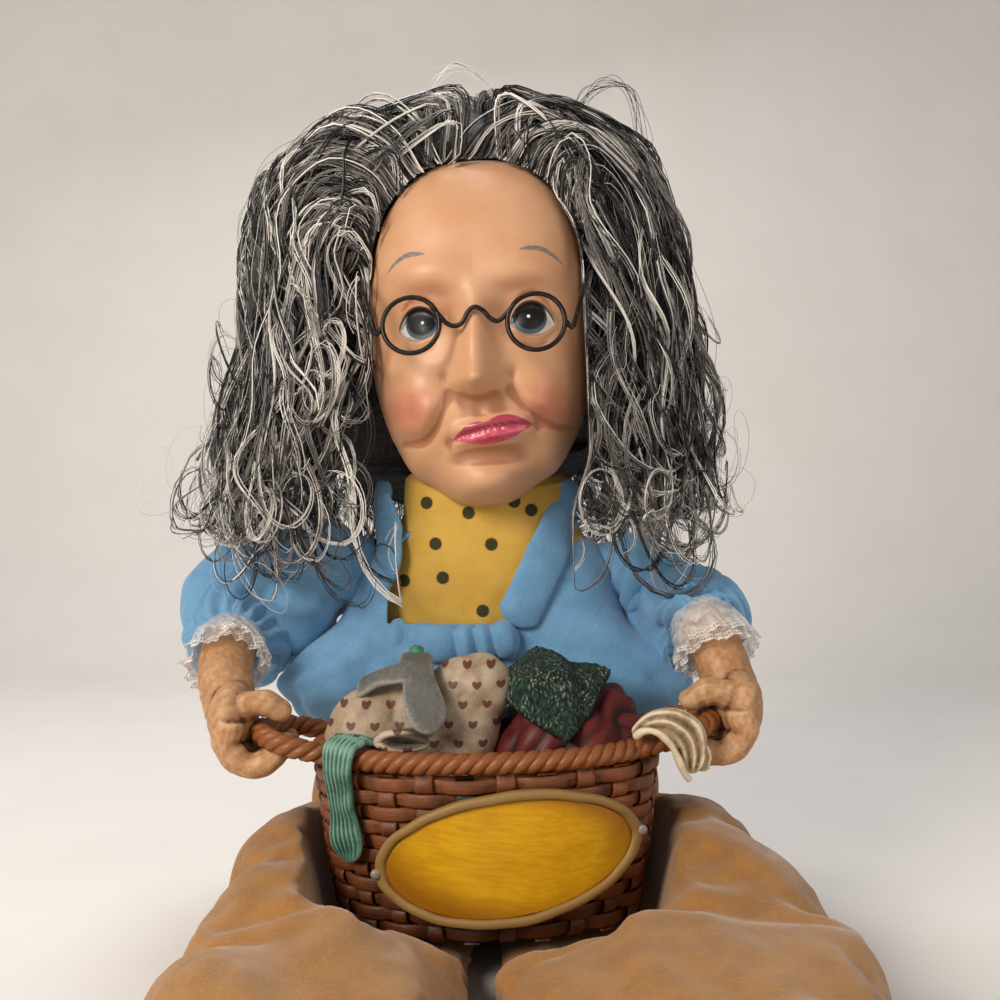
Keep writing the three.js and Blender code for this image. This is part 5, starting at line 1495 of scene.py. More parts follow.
# Where each layer of lace starts and ends along the arm, its radius, its flare and its number of waves.
LACE_LAYERS = [(0.62, 0.81, 10.2, 1.8, 11), (0.63, 0.79, 11.0, 2.8, 13)]


def lace_mesh(arm, from_share, to_share, radius, flare, frills, seed):
    path = arm_line(arm, FINE_ARM_POINTS)[0]
    path = path[int(FINE_ARM_POINTS * from_share) : int(FINE_ARM_POINTS * to_share)]
    count = 36
    path = path[np.linspace(0, len(path) - 1, count).astype(int)]
    side, rise = frames_along(path, up=(0, 1, 0.2))

    def shape(u, v):
        index, angle = row_and_angle(u, v, count - 1)
        frill = np.cos(frills * angle + 2.5 * np.sin(2 * angle)) + 0.4 * np.cos((2 * frills + 1) * angle)
        out = outward(side[index], rise[index], angle)
        reach = radius + flare * v**0.8 + 1.1 * v**2 * frill
        points = path[index] + out * reach[:, None]
        return points + out * (0.6 * v * ripple(points, 7, seed))[:, None]

    return bent_grid(200, count - 1, shape, wrap=True)


lace = lace_material()
for name, arm in ARMS.items():
    layers = [lace_mesh(arm, *layer, arm["seed"] + k) for k, layer in enumerate(LACE_LAYERS, 1)]
    piece = make_piece("lace_frill_" + name, joined(*layers), lace, "arms", "white_lace")
    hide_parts("cuff_" + name)

# %% [markdown]
# The hands are cast resin: a bare forearm, a palm, four fingers curled under the basket's handle and a thumb
# on top. They are laid out as simple tubes and lumps, fused into one skin with a voxel remesh, as a sculptor
# blends clay, and then wrinkled. Brown wash and painted shade darken the wrinkles, and pale paint with
# painted highlight lies on the ridges.


# %% Hands
def rounded_end(t, share):
    """How full a tube is towards its far end, so that it closes like a fingertip."""
    return np.sqrt(np.clip(1 - np.clip((t - 1 + share) / share, 0, 1) ** 2, 0.02, 1))


def puffed(bm, depth_at):
    """The same mesh with every point moved along its normal."""
    bm.normal_update()
    normals = np.array([vert.normal for vert in bm.verts])
    return moved(bm, lambda points: points + normals * depth_at(points)[:, None])


def curl(grip, side, degrees, first_y, step_y, reach, radius, knuckles):
    """A finger bent round the handle, thicker at its knuckles."""
    angles = np.radians(degrees)
    y = first_y + step_y * np.arange(len(angles))
    places = grip + points_of(side * reach * np.cos(angles), y, reach * np.sin(angles))
    path = path_through(places, 30)

    def radius_at(angle, t):
        joints = sum(0.10 * hump(t - k, 0.07) for k in knuckles)
        return radius * (1 - 0.2 * t) * (1 + joints) * rounded_end(t, 0.16)

    return tube(path, radius_at, 14, up=(0, 1, 0))


# How each finger and the thumb bend round the handle, in degrees, and where their knuckles are.
FINGER_BEND, FINGER_KNUCKLES = [40, -20, -75, -125, -170], (0.12, 0.42, 0.72)
THUMB_BEND, THUMB_KNUCKLES = [20, 60, 100, 135, 158], (0.3, 0.62)
FINGER_PLACES = (-8.7, -2.9, 2.9, 8.7)
PALM_SIZE = (7.4, 14.5, 11)


def fist_mesh(arm):
    line, grip, palm = arm_line(arm, 60)
    side = arm["side"]
    forearm = tube(line[31:], lambda angle, t: 9.0 - 0.9 * t + 0.5 * np.cos(2 * angle), 22)
    parts = [forearm, lump(palm, PALM_SIZE)]
    for y in FINGER_PLACES:
        parts.append(curl(grip, side, FINGER_BEND, 1.15 * y, 0, 9.0, 4.4, FINGER_KNUCKLES))
    parts.append(curl(grip, side, THUMB_BEND, -6.5, 1.2, 9.2, 4.6, THUMB_KNUCKLES))
    fist = fuse(joined(*parts), voxel=0.5, smoothing=4)
    return puffed(fist, lambda points: 0.1 * ripple(points, 3.4, arm["seed"]) + 0.32 * ripple(points, 9, 9))


def resin_material(name, colour, wash_and_shade, ridge_and_highlight, wash_and_shade_amount=0.85, ridge_and_highlight_amount=0.5, grain=2.0, rough=0.55):
    material, place = new_material(name)
    hollow = stored(place, "hollow")
    # Dark wash and painted shade in the hollows, pale paint and painted highlight on the ridges.
    paint = washed_and_shaded_paint(place, hollow, colour, wash_and_shade, ridge_and_highlight, wash_and_shade_amount, ridge_and_highlight_amount, grain)
    principled(paint, rough, noised(place, 0.8, 4.0), 0.2, 0.25)
    return material


skin_paint = resin_material("hand_paint", "b98a5f", "5a3318", "e2b98c", 1.0, 0.55)
for name, arm in ARMS.items():
    cast_piece("cast_fist_" + name, fist_mesh(arm), skin_paint, "arms", "hand_resin", "hand_" + name,
               steps=8, depth=0.45)

# %% [markdown]
# The basket is a casting that copies a woven one. Its wall is a plain tub with flat splints over it: each row
# goes over one stake and under the next, and the stakes do the opposite, so both are bands whose distance
# from the wall is a wave. The rim and handles are ropes of three strands, each strand a tube on a helix.

# %% Basket: the weave
WALL_FOOT, WALL_TOP = np.array([46.0, 25.0]), np.array([54.0, 30.0])
SHELL_TOP = 50.0
WEAVE_ROWS = 11
WEAVE_STAKES = 22
WEAVE_DEPTH = 1.1
WEAVE_FOOT = 1.5
WEAVE_SINK = -0.7
ROW_PITCH = (SHELL_TOP - WEAVE_FOOT) / WEAVE_ROWS
TUB_INSET = 2.2
# The tub's share of the wall's size, and the height, from its underside over the edge to its inside.
TUB_PROFILE = [(0.0, 1.0), (0.96, 0.6), (1.0, 2.0), (1.0, SHELL_TOP), (0.93, SHELL_TOP), (0.92, 6.0),
               (0.0, 6.0)]


def wall_half(z):
    flare = np.clip(z / BASKET_HEIGHT, 0, 1) ** 0.8
    return mix(WALL_FOOT[0], WALL_TOP[0], flare), mix(WALL_FOOT[1], WALL_TOP[1], flare)


def even_turn(share, half=(50.0, 27.5)):
    """The angle on an oval that is a share of the way round its edge."""
    turn = np.linspace(0, tau, 721)
    edge = np.column_stack([half[0] * np.cos(turn), half[1] * np.sin(turn)])
    gone = travelled(edge)
    return np.interp(share % 1.0, gone / gone[-1], turn)


def on_wall(share, z, offset):
    half_width, half_depth = wall_half(z)
    turn = even_turn(share)
    x, y = half_width * np.cos(turn), half_depth * np.sin(turn)
    out = unit(points_of(np.cos(turn) / half_width, np.sin(turn) / half_depth, 0 * turn))
    return points_of(x, y, z) + out * offset[:, None]


def weave_wave(stake, row):
    """How far a splint stands out where it passes a stake."""
    wave = np.cos(pi * (stake + row))
    return WEAVE_DEPTH * blunt(wave, 0.6)


def splint_row(row, draw):
    lean = draw.uniform(-0.25, 0.25, 2)

    def shape(u, v):
        angle = v * tau
        high = blunt(np.sin(angle), 0.55)
        thick = blunt(np.cos(angle), 0.55)
        z = WEAVE_FOOT + ROW_PITCH * (row + 0.5) + 0.47 * ROW_PITCH * high
        z = z + lean[0] * np.sin(tau * u * 3 + row)
        share = u % 1.0
        offset = WEAVE_SINK + 0.75 * thick + weave_wave(share * WEAVE_STAKES, row)
        return on_wall(share, z, offset + lean[1] * np.sin(tau * u * 5))

    return bent_grid(WEAVE_STAKES * 12, 10, shape, wrap=True)


def stake_strip(stake):
    def shape(u, v):
        angle = u * tau
        wide = blunt(np.sin(angle), 0.6)
        thick = blunt(np.cos(angle), 0.6)
        z = mix(0.6, SHELL_TOP + 1, v)
        offset = WEAVE_SINK + 0.6 * thick - weave_wave(stake, (z - WEAVE_FOOT) / ROW_PITCH - 0.5)
        return on_wall(stake / WEAVE_STAKES + 0.0105 * wide, z, offset)

    return bent_grid(12, WEAVE_ROWS * 8, shape, wrap=True)


def tub_shape(u, v):
    share, z = along_rows(TUB_PROFILE, v)
    half_width, half_depth = ((half - TUB_INSET) * share for half in wall_half(z))
    turn = u * tau
    return points_of(half_width * np.cos(turn), half_depth * np.sin(turn), z)


draw = np.random.default_rng(11)
weave_parts = [bent_grid(90, 24, tub_shape, wrap=True)]
weave_parts += [splint_row(row, draw) for row in range(WEAVE_ROWS)]
weave_parts += [stake_strip(stake) for stake in range(WEAVE_STAKES)]
weave_mesh = moved(joined(*weave_parts), on_lap)


def splint_material():
    material, place = new_material("woven_splint_paint", BASKET_FOOT)
    streak = noised(stretched(place, (0.22, 0.22, 1.6)), 0.9, 4.0, 0.6)
    hollow = times_plus(minus(streak, 0.5), 0.6, stored(place, "hollow"))
    paint = washed_and_shaded_paint(place, hollow, "4d2a18", "190803", "8f5128", 0.9, 0.6, 3.0)
    # Painted shade: the weave darkens towards the bottom of the basket.
    paint = mixed(ramped(split(place)["Z"], 2.0, 28.0, 0.6, 0.0), paint, "2a0c05")
    blotch = noised(place, 8.0, 4.0)
    paint = mixed(ramped(blotch, 0.45, 0.7, 0.0, 0.55), paint, "260d06")
    paint = mixed(ramped(blotch, 0.28, 0.42, 0.4, 0.0), paint, "9a5a34")
    principled(paint, 0.5, streak, 0.5, 0.5)
    return material


cast_piece("woven_basket", weave_mesh, splint_material(), "arms", "wicker_resin", "basket_shell",
           steps=5, depth=0.5)

# %% Basket: rope rim and handles
ROPE_STRAND = 1.75
ROPE_TWIST = 1.6
ROPE_PITCH = 12.5
ROPE_GROOVES = 40
RIM_LENGTH = 258
HANDLE_TURNS = 5.5


def rope(path, turns, closed=False):
    """Three strands twisted round a path, each with fine grooves."""
    side, rise = frames_along(path, closed=closed)
    t = np.linspace(0, 1, len(path), endpoint=not closed)

    def grooved(angle, v):
        return ROPE_STRAND * (1 + 0.07 * np.cos(5 * angle + ROPE_GROOVES * tau * v))

    strands = []
    for k in range(3):
        strand = path + ROPE_TWIST * outward(side, rise, tau * (turns * t + k / 3))
        strands.append(tube(strand, grooved, 12, up=(0.01, 0.02, 1), closed=closed))
    return joined(*strands)


def rim_path(count):
    turn = even_turn(np.arange(count) / count, RIM_HALF)
    return points_of(RIM_HALF[0] * np.cos(turn), RIM_HALF[1] * np.sin(turn), BASKET_HEIGHT + 0 * turn)


rope_paint = resin_material("rope_paint", "5f3319", "210d05", "a0602f", 0.95, 0.6, 1.6, 0.45)
ropes = {"basket_rim": ("rope_rim", rope(rim_path(420), round(RIM_LENGTH / ROPE_PITCH), closed=True))}
for name, arm in ARMS.items():
    bow = rope(path_through(handle_places(arm["side"]), 130), HANDLE_TURNS)
    ropes["handle_" + name] = ("rope_handle_" + name, bow)
for node, (name, strands) in ropes.items():
    cast_piece(name, moved(strands, on_lap), rope_paint, "arms", "rope_resin", node, steps=4, depth=0.4)

# %% [markdown]
# The sign is an oval board in yellow paint inside a brown wooden border, bent to the basket's front and
# tilted, with a nail head at each end. Both are grids laid on the wall: round the oval and outward from it.

# %% Sign board
SIGN_MIDDLE = (6.0, 27.0)
SIGN_TILT = radians(7)
SIGN_HALF = np.array([34.4, 16.9])
SIGN_PAINT_MIDDLE = (8, -90, 43.5)
BORDER_HALF = 1.5
NAIL_SIZE = (1.5, 1.1, 1.5)
NAIL_STAND = 5.9
NAILS = {"right": -36.6, "left": 36.6}


def front_wall(along, up, offset):
    """A place on the basket's front, measured on the tilted sign."""
    x = SIGN_MIDDLE[0] + along * cos(SIGN_TILT) - up * sin(SIGN_TILT)
    z = SIGN_MIDDLE[1] + along * sin(SIGN_TILT) + up * cos(SIGN_TILT)
    half_width, half_depth = wall_half(z)
    y = -half_depth * np.sqrt(1 - np.minimum(np.abs(x) / half_width, 0.98) ** 2)
    out = unit(points_of(x / half_width**2, y / half_depth**2, 0 * x))
    return on_lap(points_of(x, y, z) + out * np.asarray(offset)[..., None])


def board_shape(u, v):
    angle = u * tau
    share = np.minimum(v / 0.9, 1.0)
    offset = 4.4 - 2.6 * ease(v, 0.9, 1.0) + 0.12 * np.cos(angle * 2) * share
    points = front_wall(SIGN_HALF[0] * share * np.cos(angle), SIGN_HALF[1] * share * np.sin(angle), offset)
    return points + points_of(0, 0.12 * ripple(points, 14, 61), 0)


def border_shape(u, v):
    angle, round_it = u * tau, v * tau
    wide = BORDER_HALF * blunt(np.cos(round_it), 0.7)
    high = 2.0 * blunt(np.sin(round_it), 0.7)
    wobble = 0.12 * np.cos(9 * angle + 1) + 0.08 * np.cos(17 * angle)
    along = (SIGN_HALF[0] + BORDER_HALF + wide + wobble) * np.cos(angle)
    up = (SIGN_HALF[1] + BORDER_HALF + wide + wobble) * np.sin(angle)
    return front_wall(along, up, 3.7 + high * (1 + 0.04 * np.cos(13 * angle)))


def sign_paint_material():
    material, place = new_material("yellow_sign_paint", SIGN_PAINT_MIDDLE, (0, SIGN_TILT, 0))
    brush = noised(stretched(place, (0.12, 1.0, 1.0)), 1.3, 5.0, 0.6)
    blotch = noised(place, 9.0, 4.0)
    middle = patch_on(place, 0.0, 2.0, 33.0, 16.5, 0.3)
    yellow = mixed(ramped(brush, 0.3, 0.7), "d49a06", "e2b010")
    yellow = mixed(ramped(blotch, 0.45, 0.75, 0.0, 0.5), yellow, "c08a06")
    paint = mixed(middle, tint("9a6204"), yellow)
    principled(paint, 0.45, brush, 0.35, 0.3)
    return material


board = bent_grid(120, 40, board_shape, wrap=True)
board_piece = make_piece("sign_board", board, sign_paint_material(), "arms", "plaque_paint")
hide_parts("plaque_board")
border_paint = resin_material("sign_border_paint", "745226", "2e1a08", "a8884f", 0.85, 0.6, 1.4)
border = bent_grid(200, 16, border_shape, wrap=True)
cast_piece("sign_border", border, border_paint, "arms", "border_wood", "plaque_border", steps=6, depth=0.5)
nail_paint = resin_material("nail_head_paint", "6f6a63", "2c2722", "b9b3a8", 0.6, 0.5, 1.0, 0.35)
for name, along in NAILS.items():
    spot = front_wall(np.array([along]), np.array([0.0]), np.array([NAIL_STAND]))[0]
    cast_piece("nail_head_" + name, lump(spot, NAIL_SIZE, detail=3), nail_paint, "arms", "nail_paint",
               "plaque_nail_" + name, steps=3, depth=0.5)

# %% [markdown]
# The washing is sculpted cloth. Each heap is a round lump, or a few fused lumps, creased by folded waves. The
# towel is a thick square laid over the heap, and the socks and cloths are flat bands led along a path.


# %% Washing: heaps
HEAP_INSET = 4.5


def inside_basket(points):
    """Points below the rim drawn in, so that a heap doesn't come through the basket's wall."""
    half_width, half_depth = wall_half(points[:, 2])
    reach = np.hypot(points[:, 0] / (half_width - HEAP_INSET), points[:, 1] / (half_depth - HEAP_INSET))
    share = mix(1 / np.maximum(reach, 1), 1.0, ease(points[:, 2], 52, 60))
    return points * points_of(share, share, 1 + 0 * share)


def creased(heap, depth, wavelength, seed):
    """A heap of cloth: a lump whose surface folds in sharp valleys and soft ridges."""

    def fold(points):
        broad = ripple(points * [1, 1, 0.7], wavelength, seed)
        fine = ripple(points, wavelength * 0.45, seed + 1)
        return depth * (2 * np.abs(broad) - 1) + 0.35 * depth * (2 * np.abs(fine) - 1)

    return moved(moved(puffed(heap, fold), inside_basket), on_lap)


TOWEL_CORNERS = np.array([(17, -44, 97), (40.5, -58, 91.5), (24.5, -84, 75), (2, -58, 87)], float)


def towel_mesh():
    """A thick square of towelling laid over the heap: blunt corners, one drawn-in edge and a tufted face."""

    def shape(u, v):
        top, right, bottom, left = TOWEL_CORNERS
        across, along = 2 * u - 1, 2 * v - 1
        a = 0.5 + 0.53 * across * np.sqrt(1 - 0.14 * along**2)
        b = 0.5 + 0.53 * along * np.sqrt(1 - 0.14 * across**2)
        points = mix(mix(top, right, a[:, None]), mix(left, bottom, a[:, None]), b[:, None])
        swell = np.sin(pi * u) * np.sin(pi * v)
        notch = hump(u - 0.55, 0.2) * hump(v, 0.45)
        fold = 1.8 * np.cos(tau * 1.1 * (u - v) + 0.6) + 1.2 * ripple(points, 14, 73)
        tufts = 0.45 * ripple(points * [1, 1, 0.5], 2.1, 74, 10)
        valley = hump(u - 0.8 * v - 0.46, 0.11)
        y = -9 * swell + fold + 5 * valley - tufts
        points = points + points_of(0, y, 6 * swell - 1.5 * valley + 0.6 * tufts)
        return points + notch[:, None] * np.array([-0.5, 1.0, -1.2])

    towel = bent_grid(150, 150, shape)
    bmesh.ops.solidify(towel, geom=towel.faces[:], thickness=-1.8)
    return towel


def towel_material():
    material, place = new_material("towel_paint")
    tufts = noised(stretched(place, (1.0, 1.0, 0.35), (0, 0.5, 0)), 0.75, 4.0, 0.7)
    patchy = noised(place, 7.0, 3.0)
    green = mixed(ramped(tufts, 0.42, 0.64), "040d08", "285540")
    dry = times(ramped(tufts, 0.53, 0.65), ramped(patchy, 0.4, 0.6))
    paint = mixed(times(dry, 0.8), green, "b6c0b2")
    principled(paint, 0.8, tufts, 1.0, 1.2)
    return material


HEART_ROW = 5.8
HEART_SPACE = 7.4
HEART_SHIFT = 3.1


def heart_material():
    material, place = new_material("cream_paint_with_hearts")
    paint = washed_and_shaded_paint(place, stored(place, "hollow"), "a8937a", "5e4833", "cfc0a8", 0.75, 0.5, 3.0)
    part = split(place)
    row = calculate("FLOOR", calculate("DIVIDE", part["Z"], HEART_ROW))
    across = times_plus(row, HEART_SHIFT, part["X"])
    across = calculate("WRAP", across, HEART_SPACE / 2, -HEART_SPACE / 2)
    cell = combined(across, part["Y"], calculate("WRAP", part["Z"], HEART_ROW, 0.0))
    halves = []
    for side in (-1, 1):
        halves.append(patch_on(cell, 0.45 * side, HEART_ROW / 2, 0.8, 1.35, 0.15, side * -0.6))
    front = ramped(part["Y"], -56.0, -52.0, 0.9, 0.0)
    hearts = times(calculate("MAXIMUM", *halves), front)
    paint = mixed(hearts, paint, "5a1a14")
    # Painted shade: the inside of the rolled hem's opening is near black.
    opening = patch_on(place, -22.8, 75.4, 7.4, 2.4, 0.2, 0.06)
    paint = mixed(times(opening, front), paint, "1c110a")
    principled(paint, 0.6, noised(place, 0.8, 4.0), 0.2, 0.25)
    return material


# The rolled hem of an opening in the cream cloth: a closed loop that lies on the heap.
HEM_PLACES = [(-32.6, -18.0, 58.8), (-29, -19.2, 61.3), (-23, -20.0, 61.0), (-17.4, -19.6, 58.6),
              (-22, -19.9, 57.3), (-29, -19.2, 57.4), (-32.6, -18.0, 58.8)]
HEM_RADIUS = 1.3
CREAM_LOBES = [((-36, 0, 52), (15, 18, 22)), ((-22, 3.5, 54), (17, 17.5, 24.5)),
               ((-10, 2.5, 48), (12, 17, 17)), ((-7, 2, 60), (12, 15, 17)),
               ((-4.5, 2, 71), (13.5, 12, 11.5))]
cream_lobes = fuse(joined(*[lump(*lobe) for lobe in CREAM_LOBES]), voxel=0.9, smoothing=8)
hem = tube(path_through(HEM_PLACES, 60)[:-1], HEM_RADIUS, around=10, up=(0, 1, 0), closed=True)
cream_heap = joined(creased(cream_lobes, 1.1, 34, 75), moved(hem, on_lap))
maroon_heap = creased(lump((28, 2, 50), (28, 22, 20), 6), 2.6, 26, 71)
maroon_paint = resin_material("maroon_paint", "520f0c", "180303", "76231d", 0.9, 0.4, 2.0)
washing_bed = creased(lump((0, 0, 38), (45, 22.5, 12), 5), 1.0, 18, 77)
bed_paint = resin_material("washing_shadow_paint", "4a2a20", "1a0a06", "6d4a3a", 0.8, 0.3)
heaps = {
    "laundry_maroon_cloth": ("maroon_heap", maroon_heap, maroon_paint, "maroon_resin"),
    "laundry_green_towel": ("towel_heap", towel_mesh(), towel_material(), "green_resin"),
    "laundry_cream_hearts": ("cream_heap", cream_heap, heart_material(), "cream_resin"),
    "laundry_bed": ("washing_bed", washing_bed, bed_paint, "maroon_resin"),
}
for node, (name, heap, paint, slot) in heaps.items():
    cast_piece(name, heap, paint, "arms", slot, node, steps=10, depth=0.9)


# %% Washing: socks and cloths that hang
def hanging_band(path, half_wide, half_thick, up, ribs, seed, rib_depth=0.16):
    """A flat band of cloth along a path, with ribs along its length and a rounded end.

    half_wide lists its half width at even steps along the path.
    """
    side, rise = frames_along(path, up)
    count = len(path)

    def shape(u, v):
        index, angle = row_and_angle(u, v, count - 1)
        ends = rounded_end(v, 0.14) * rounded_end(1 - v, 0.05)
        wide = np.interp(v, np.linspace(0, 1, len(half_wide)), half_wide)
        wide = wide * (1 + 0.08 * np.sin(tau * (1.5 * v + 0.1 * seed))) * ends
        across = blunt(np.cos(angle), 0.8)
        thick = half_thick * blunt(np.sin(angle), 0.7) * ends
        thick = thick * (1 + rib_depth * np.cos(ribs * pi * across))
        points = path[index] + side[index] * (wide * across)[:, None] + rise[index] * thick[:, None]
        return points + rise[index] * (0.5 * ripple(points, 9, seed))[:, None]

    return bent_grid(64, count - 1, shape, wrap=True)


ROPE_REACH = 3.82


def over_rim(turn, drop, thick):
    """A path from inside the basket, over the rim and down the wall outside."""
    turn = radians(turn)
    foot = np.array([RIM_HALF[0] * cos(turn), RIM_HALF[1] * sin(turn), BASKET_HEIGHT])
    out = np.array([cos(turn) / RIM_HALF[0], sin(turn) / RIM_HALF[1], 0])
    out /= np.linalg.norm(out)
    reach = ROPE_REACH + thick / 2
    places = [foot - out * 9 + np.array([0, 0, 3])]
    for degrees in (100, 50, 0):
        angle = radians(degrees)
        places.append(foot + out * reach * cos(angle) + np.array([0, 0, reach * sin(angle)]))
    for z in np.linspace(BASKET_HEIGHT - 6, BASKET_HEIGHT - drop, 3):
        half_width, half_depth = wall_half(z)
        share = np.array([half_width * cos(turn), half_depth * sin(turn), z])
        places.append(share + out * (1.6 + thick / 2))
    return path_through(places, 70), out


GREY_FOOT = [(-21.4, 1, 82.5), (-20.4, -9, 79), (-18.6, -16, 72.5), (-17, -20, 67), (-16, -22, 61.5)]
GREY_LEG = [(-39, -4, 73), (-32, -8, 76.5), (-25, -10.5, 78), (-19, -12.5, 76.5)]
grey_foot = hanging_band(path_through(on_lap(GREY_FOOT), 70), [4.4, 5.0, 5.5, 5.8, 5.8, 4.6], 1.2,
                         (0.1, -0.8, 0.7), 0, 81)
grey_leg = hanging_band(path_through(on_lap(GREY_LEG), 50), [4.2, 3.6, 3.6, 3.4], 1.1,
                        (0.1, -0.7, 0.8), 0, 82)
grey_sock = fuse(joined(grey_foot, grey_leg), voxel=0.5, smoothing=2)
teal_path, teal_out = over_rim(turn=219, drop=30, thick=4)
teal_sock = moved(hanging_band(teal_path, [7.0, 6.8, 6.4, 4.8, 4.4, 6.2, 7.0], 1.6, teal_out, 7, 83), on_lap)
CLOTH_FLAP = [(44.4, -18, 59.3), (49.5, -20.5, 63), (55.5, -21, 62.6), (60.4, -20, 58.6), (62, -19, 53),
              (61.6, -18, 47)]
CLOTH_HEM = [(44.2, -20.5, 58.8), (47.2, -22.8, 61.2), (51.1, -23.4, 60.6), (54.6, -23.4, 57.4),
             (56.8, -22.8, 53), (58.8, -21.8, 48.2), (60.8, -20.6, 45.6)]
CLOTH_CORNER = [(61, -19, 59), (64, -19, 55.5), (65.2, -18.5, 52), (64.8, -18, 47.5)]
cloth_flap = hanging_band(path_through(on_lap(CLOTH_FLAP), 70), [1.6, 3.4, 4.9, 5.6, 4.8, 2.6], 1.5,
                          (0, -1, 0.35), 3, 85, rib_depth=0.4)
cloth_hem = tube(path_through(on_lap(CLOTH_HEM), 50), lambda angle, t: 1.2 + 0.15 * np.sin(19 * t),
                 around=10, up=(0, -1, 0))
cloth_corner = hanging_band(path_through(on_lap(CLOTH_CORNER), 40), [2.2, 1.9, 2.4, 2.0], 1.2,
                            (0, -1, 0.2), 2, 86, rib_depth=0.3)
cream_cloth = fuse(joined(cloth_flap, cloth_hem, cloth_corner), voxel=0.5, smoothing=2)
grey_paint = resin_material("grey_paint", "65645f", "2c2a28", "a09e97", 0.8, 0.6, 1.2)
teal_paint = resin_material("teal_paint", "3a6b5b", "16281f", "8db5a4", 0.85, 0.6, 1.4)
cream_paint = resin_material("cream_paint", "a8906c", "4c3722", "eadbc0", 0.9, 0.85)
toe_paint = resin_material("toe_paint", "2f7a4e", "12351f", "6fae86")
TOE_PLACE, TOE_SIZE = (-21.2, 0.6, 83.4), (2.4, 2.6, 1.9)
toe_piece = make_piece("grey_sock_toe", lump(on_lap(TOE_PLACE)[0], TOE_SIZE), toe_paint, "arms", "teal_resin")
mark_hollows(toe_piece, steps=4, depth=0.5)
hanging = {
    "laundry_grey_sock": ("grey_sock", grey_sock, grey_paint, "grey_resin"),
    "laundry_teal_sock": ("teal_sock", teal_sock, teal_paint, "teal_resin"),
    "laundry_cream_cloth": ("cream_cloth", cream_cloth, cream_paint, "cream_resin"),
}
for node, (name, band, paint, slot) in hanging.items():
    cast_piece(name, band, paint, "arms", slot, node, steps=6, depth=0.5)

# %% [markdown]
# The trousers are tan flannel over soft stuffing. The seat is one cushion, and each leg is one tube from hip
# to hem with creases at the knee. Waves along the leg lay out its folds. A short cloth simulation with air
# pressure then swells seat and legs, and fine creases are added.

# %% Trousers
tan_flannel = flannel_material("tan_flannel", "a37236", "7a4d20", "c6985f")
THIGH_Y = np.array([5, -26, -45, -65, -85, -97, -112], float)
THIGH_OUTER = np.array([40, 45, 48.5, 47, 43, 39.5, 37], float)
THIGH_INNER = np.array([30, 14, 14, 14, 14, 21, 30], float)
LEGS = {
    "right": dict(side=-1, hip=(38, 36), knee=(42.5, 38.5), hem=(46, 32.5), seed=91),
    "left": dict(side=1, hip=(42, 39.5), knee=(54.5, 50.5), hem=(60, 36), seed=95),
}
HIP_END, KNEE_END, HEM_END = 12.0, -112.0, -200.0
HEM_HEIGHT = 34
# The seat's share of its full size, and the height, from its underside to its top.
SEAT_PROFILE = [(0.0, 0.3), (0.8, 0.0), (0.93, 3.0), (1.0, 26.0), (0.97, 48.0), (0.86, 57.5), (0.6, 59.0),
                (0.0, 59.0)]
# How wide the basket's nest between the legs is, at distances in front of the body.
NEST_Y = np.array([30, 45, 60, 75, 105, 120], float)
NEST_HALF = np.array([46, 49.5, 50.5, 48, 44, 30], float)


def seat_shape(u, v):
    turn = u * tau
    share, z = along_rows(SEAT_PROFILE, v)
    square = np.where(np.sin(turn) < 0, 0.72, 1.0)
    across, along = blunt(np.cos(turn), square), blunt(np.sin(turn), square)
    points = points_of(64 * share * across, 9 + 38 * share * along, z)
    fold = 1.1 * ripple(points * [1, 1, 0.5], 24, 90) + 0.5 * np.cos(26 * turn) * ease(z, 30, 56)
    fold = fold * ease(z, 2, 10) * share
    return points + points_of(fold * np.cos(turn), fold * np.sin(turn), 0)


def leg_shape(leg):
    def shape(u, v):
        y = mix(HIP_END, HEM_END, v)
        turn = u * tau
        stations = [-HIP_END, -KNEE_END, -HEM_END]
        sizes = zip(leg["hip"], leg["knee"], leg["hem"])
        middle, half = (np.interp(-y, stations, size) for size in sizes)
        below = np.clip((KNEE_END - y) / (KNEE_END - HEM_END), 0, 1)
        half = half * (1 + 0.05 * np.sin(pi * below))
        thigh = y > KNEE_END
        outer = np.where(thigh, np.interp(-y, -THIGH_Y, THIGH_OUTER), mix(THIGH_OUTER[-1], HEM_HEIGHT, below))
        inner = np.where(thigh, np.interp(-y, -THIGH_Y, THIGH_INNER), mix(THIGH_INNER[-1], HEM_HEIGHT, below))
        from_basket = middle + half * np.cos(turn) - leg["side"] * BASKET_FOOT[0]
        height = mix(inner, outer, ease(from_basket - np.interp(-y, NEST_Y, NEST_HALF), 0, 9))
        up = np.sin(turn)
        rise = np.where(up > 0, 0.42 + 0.58 * np.clip(up, 0, 1) ** 0.6, 0.42 * np.maximum(0, 1 + 1.4 * up))
        ends = rounded_end(v, 0.05) * rounded_end(1 - v, 0.1)
        x = leg["side"] * (middle + half * np.cos(turn) * ends)
        points = points_of(x, y, height * (0.4 + (rise - 0.4) * ends))
        slack = ease(points[:, 2], 1, 8) * ends
        bend = y - 0.3 * half * np.cos(turn) + 5 * ripple(points, 60, leg["seed"] + 2)
        sag = 2 * np.abs(np.sin(bend * pi / 50 + leg["side"])) - 1
        sag = sag * ease(-y, 10, 40) * ease(np.cos(turn), -0.2, 0.5)
        long_fold = np.sin(5 * turn + y / 16) * ease(-y, 95, 120)
        soft = ripple(points * [1, 0.6, 1], 30, leg["seed"]) + 0.25 * ripple(points, 11, leg["seed"] + 1)
        soft += 1.7 * sag * ease(points[:, 2], 12, 30) + 1.7 * long_fold
        from_knee = y - KNEE_END
        crease = 0.9 * np.cos(from_knee / 2.6 + 2 * np.cos(2 * turn)) * hump(from_knee, 14)
        depth = (soft + crease) * slack
        return points + points_of(leg["side"] * depth * np.cos(turn), 0 * y, depth * up)

    return shape


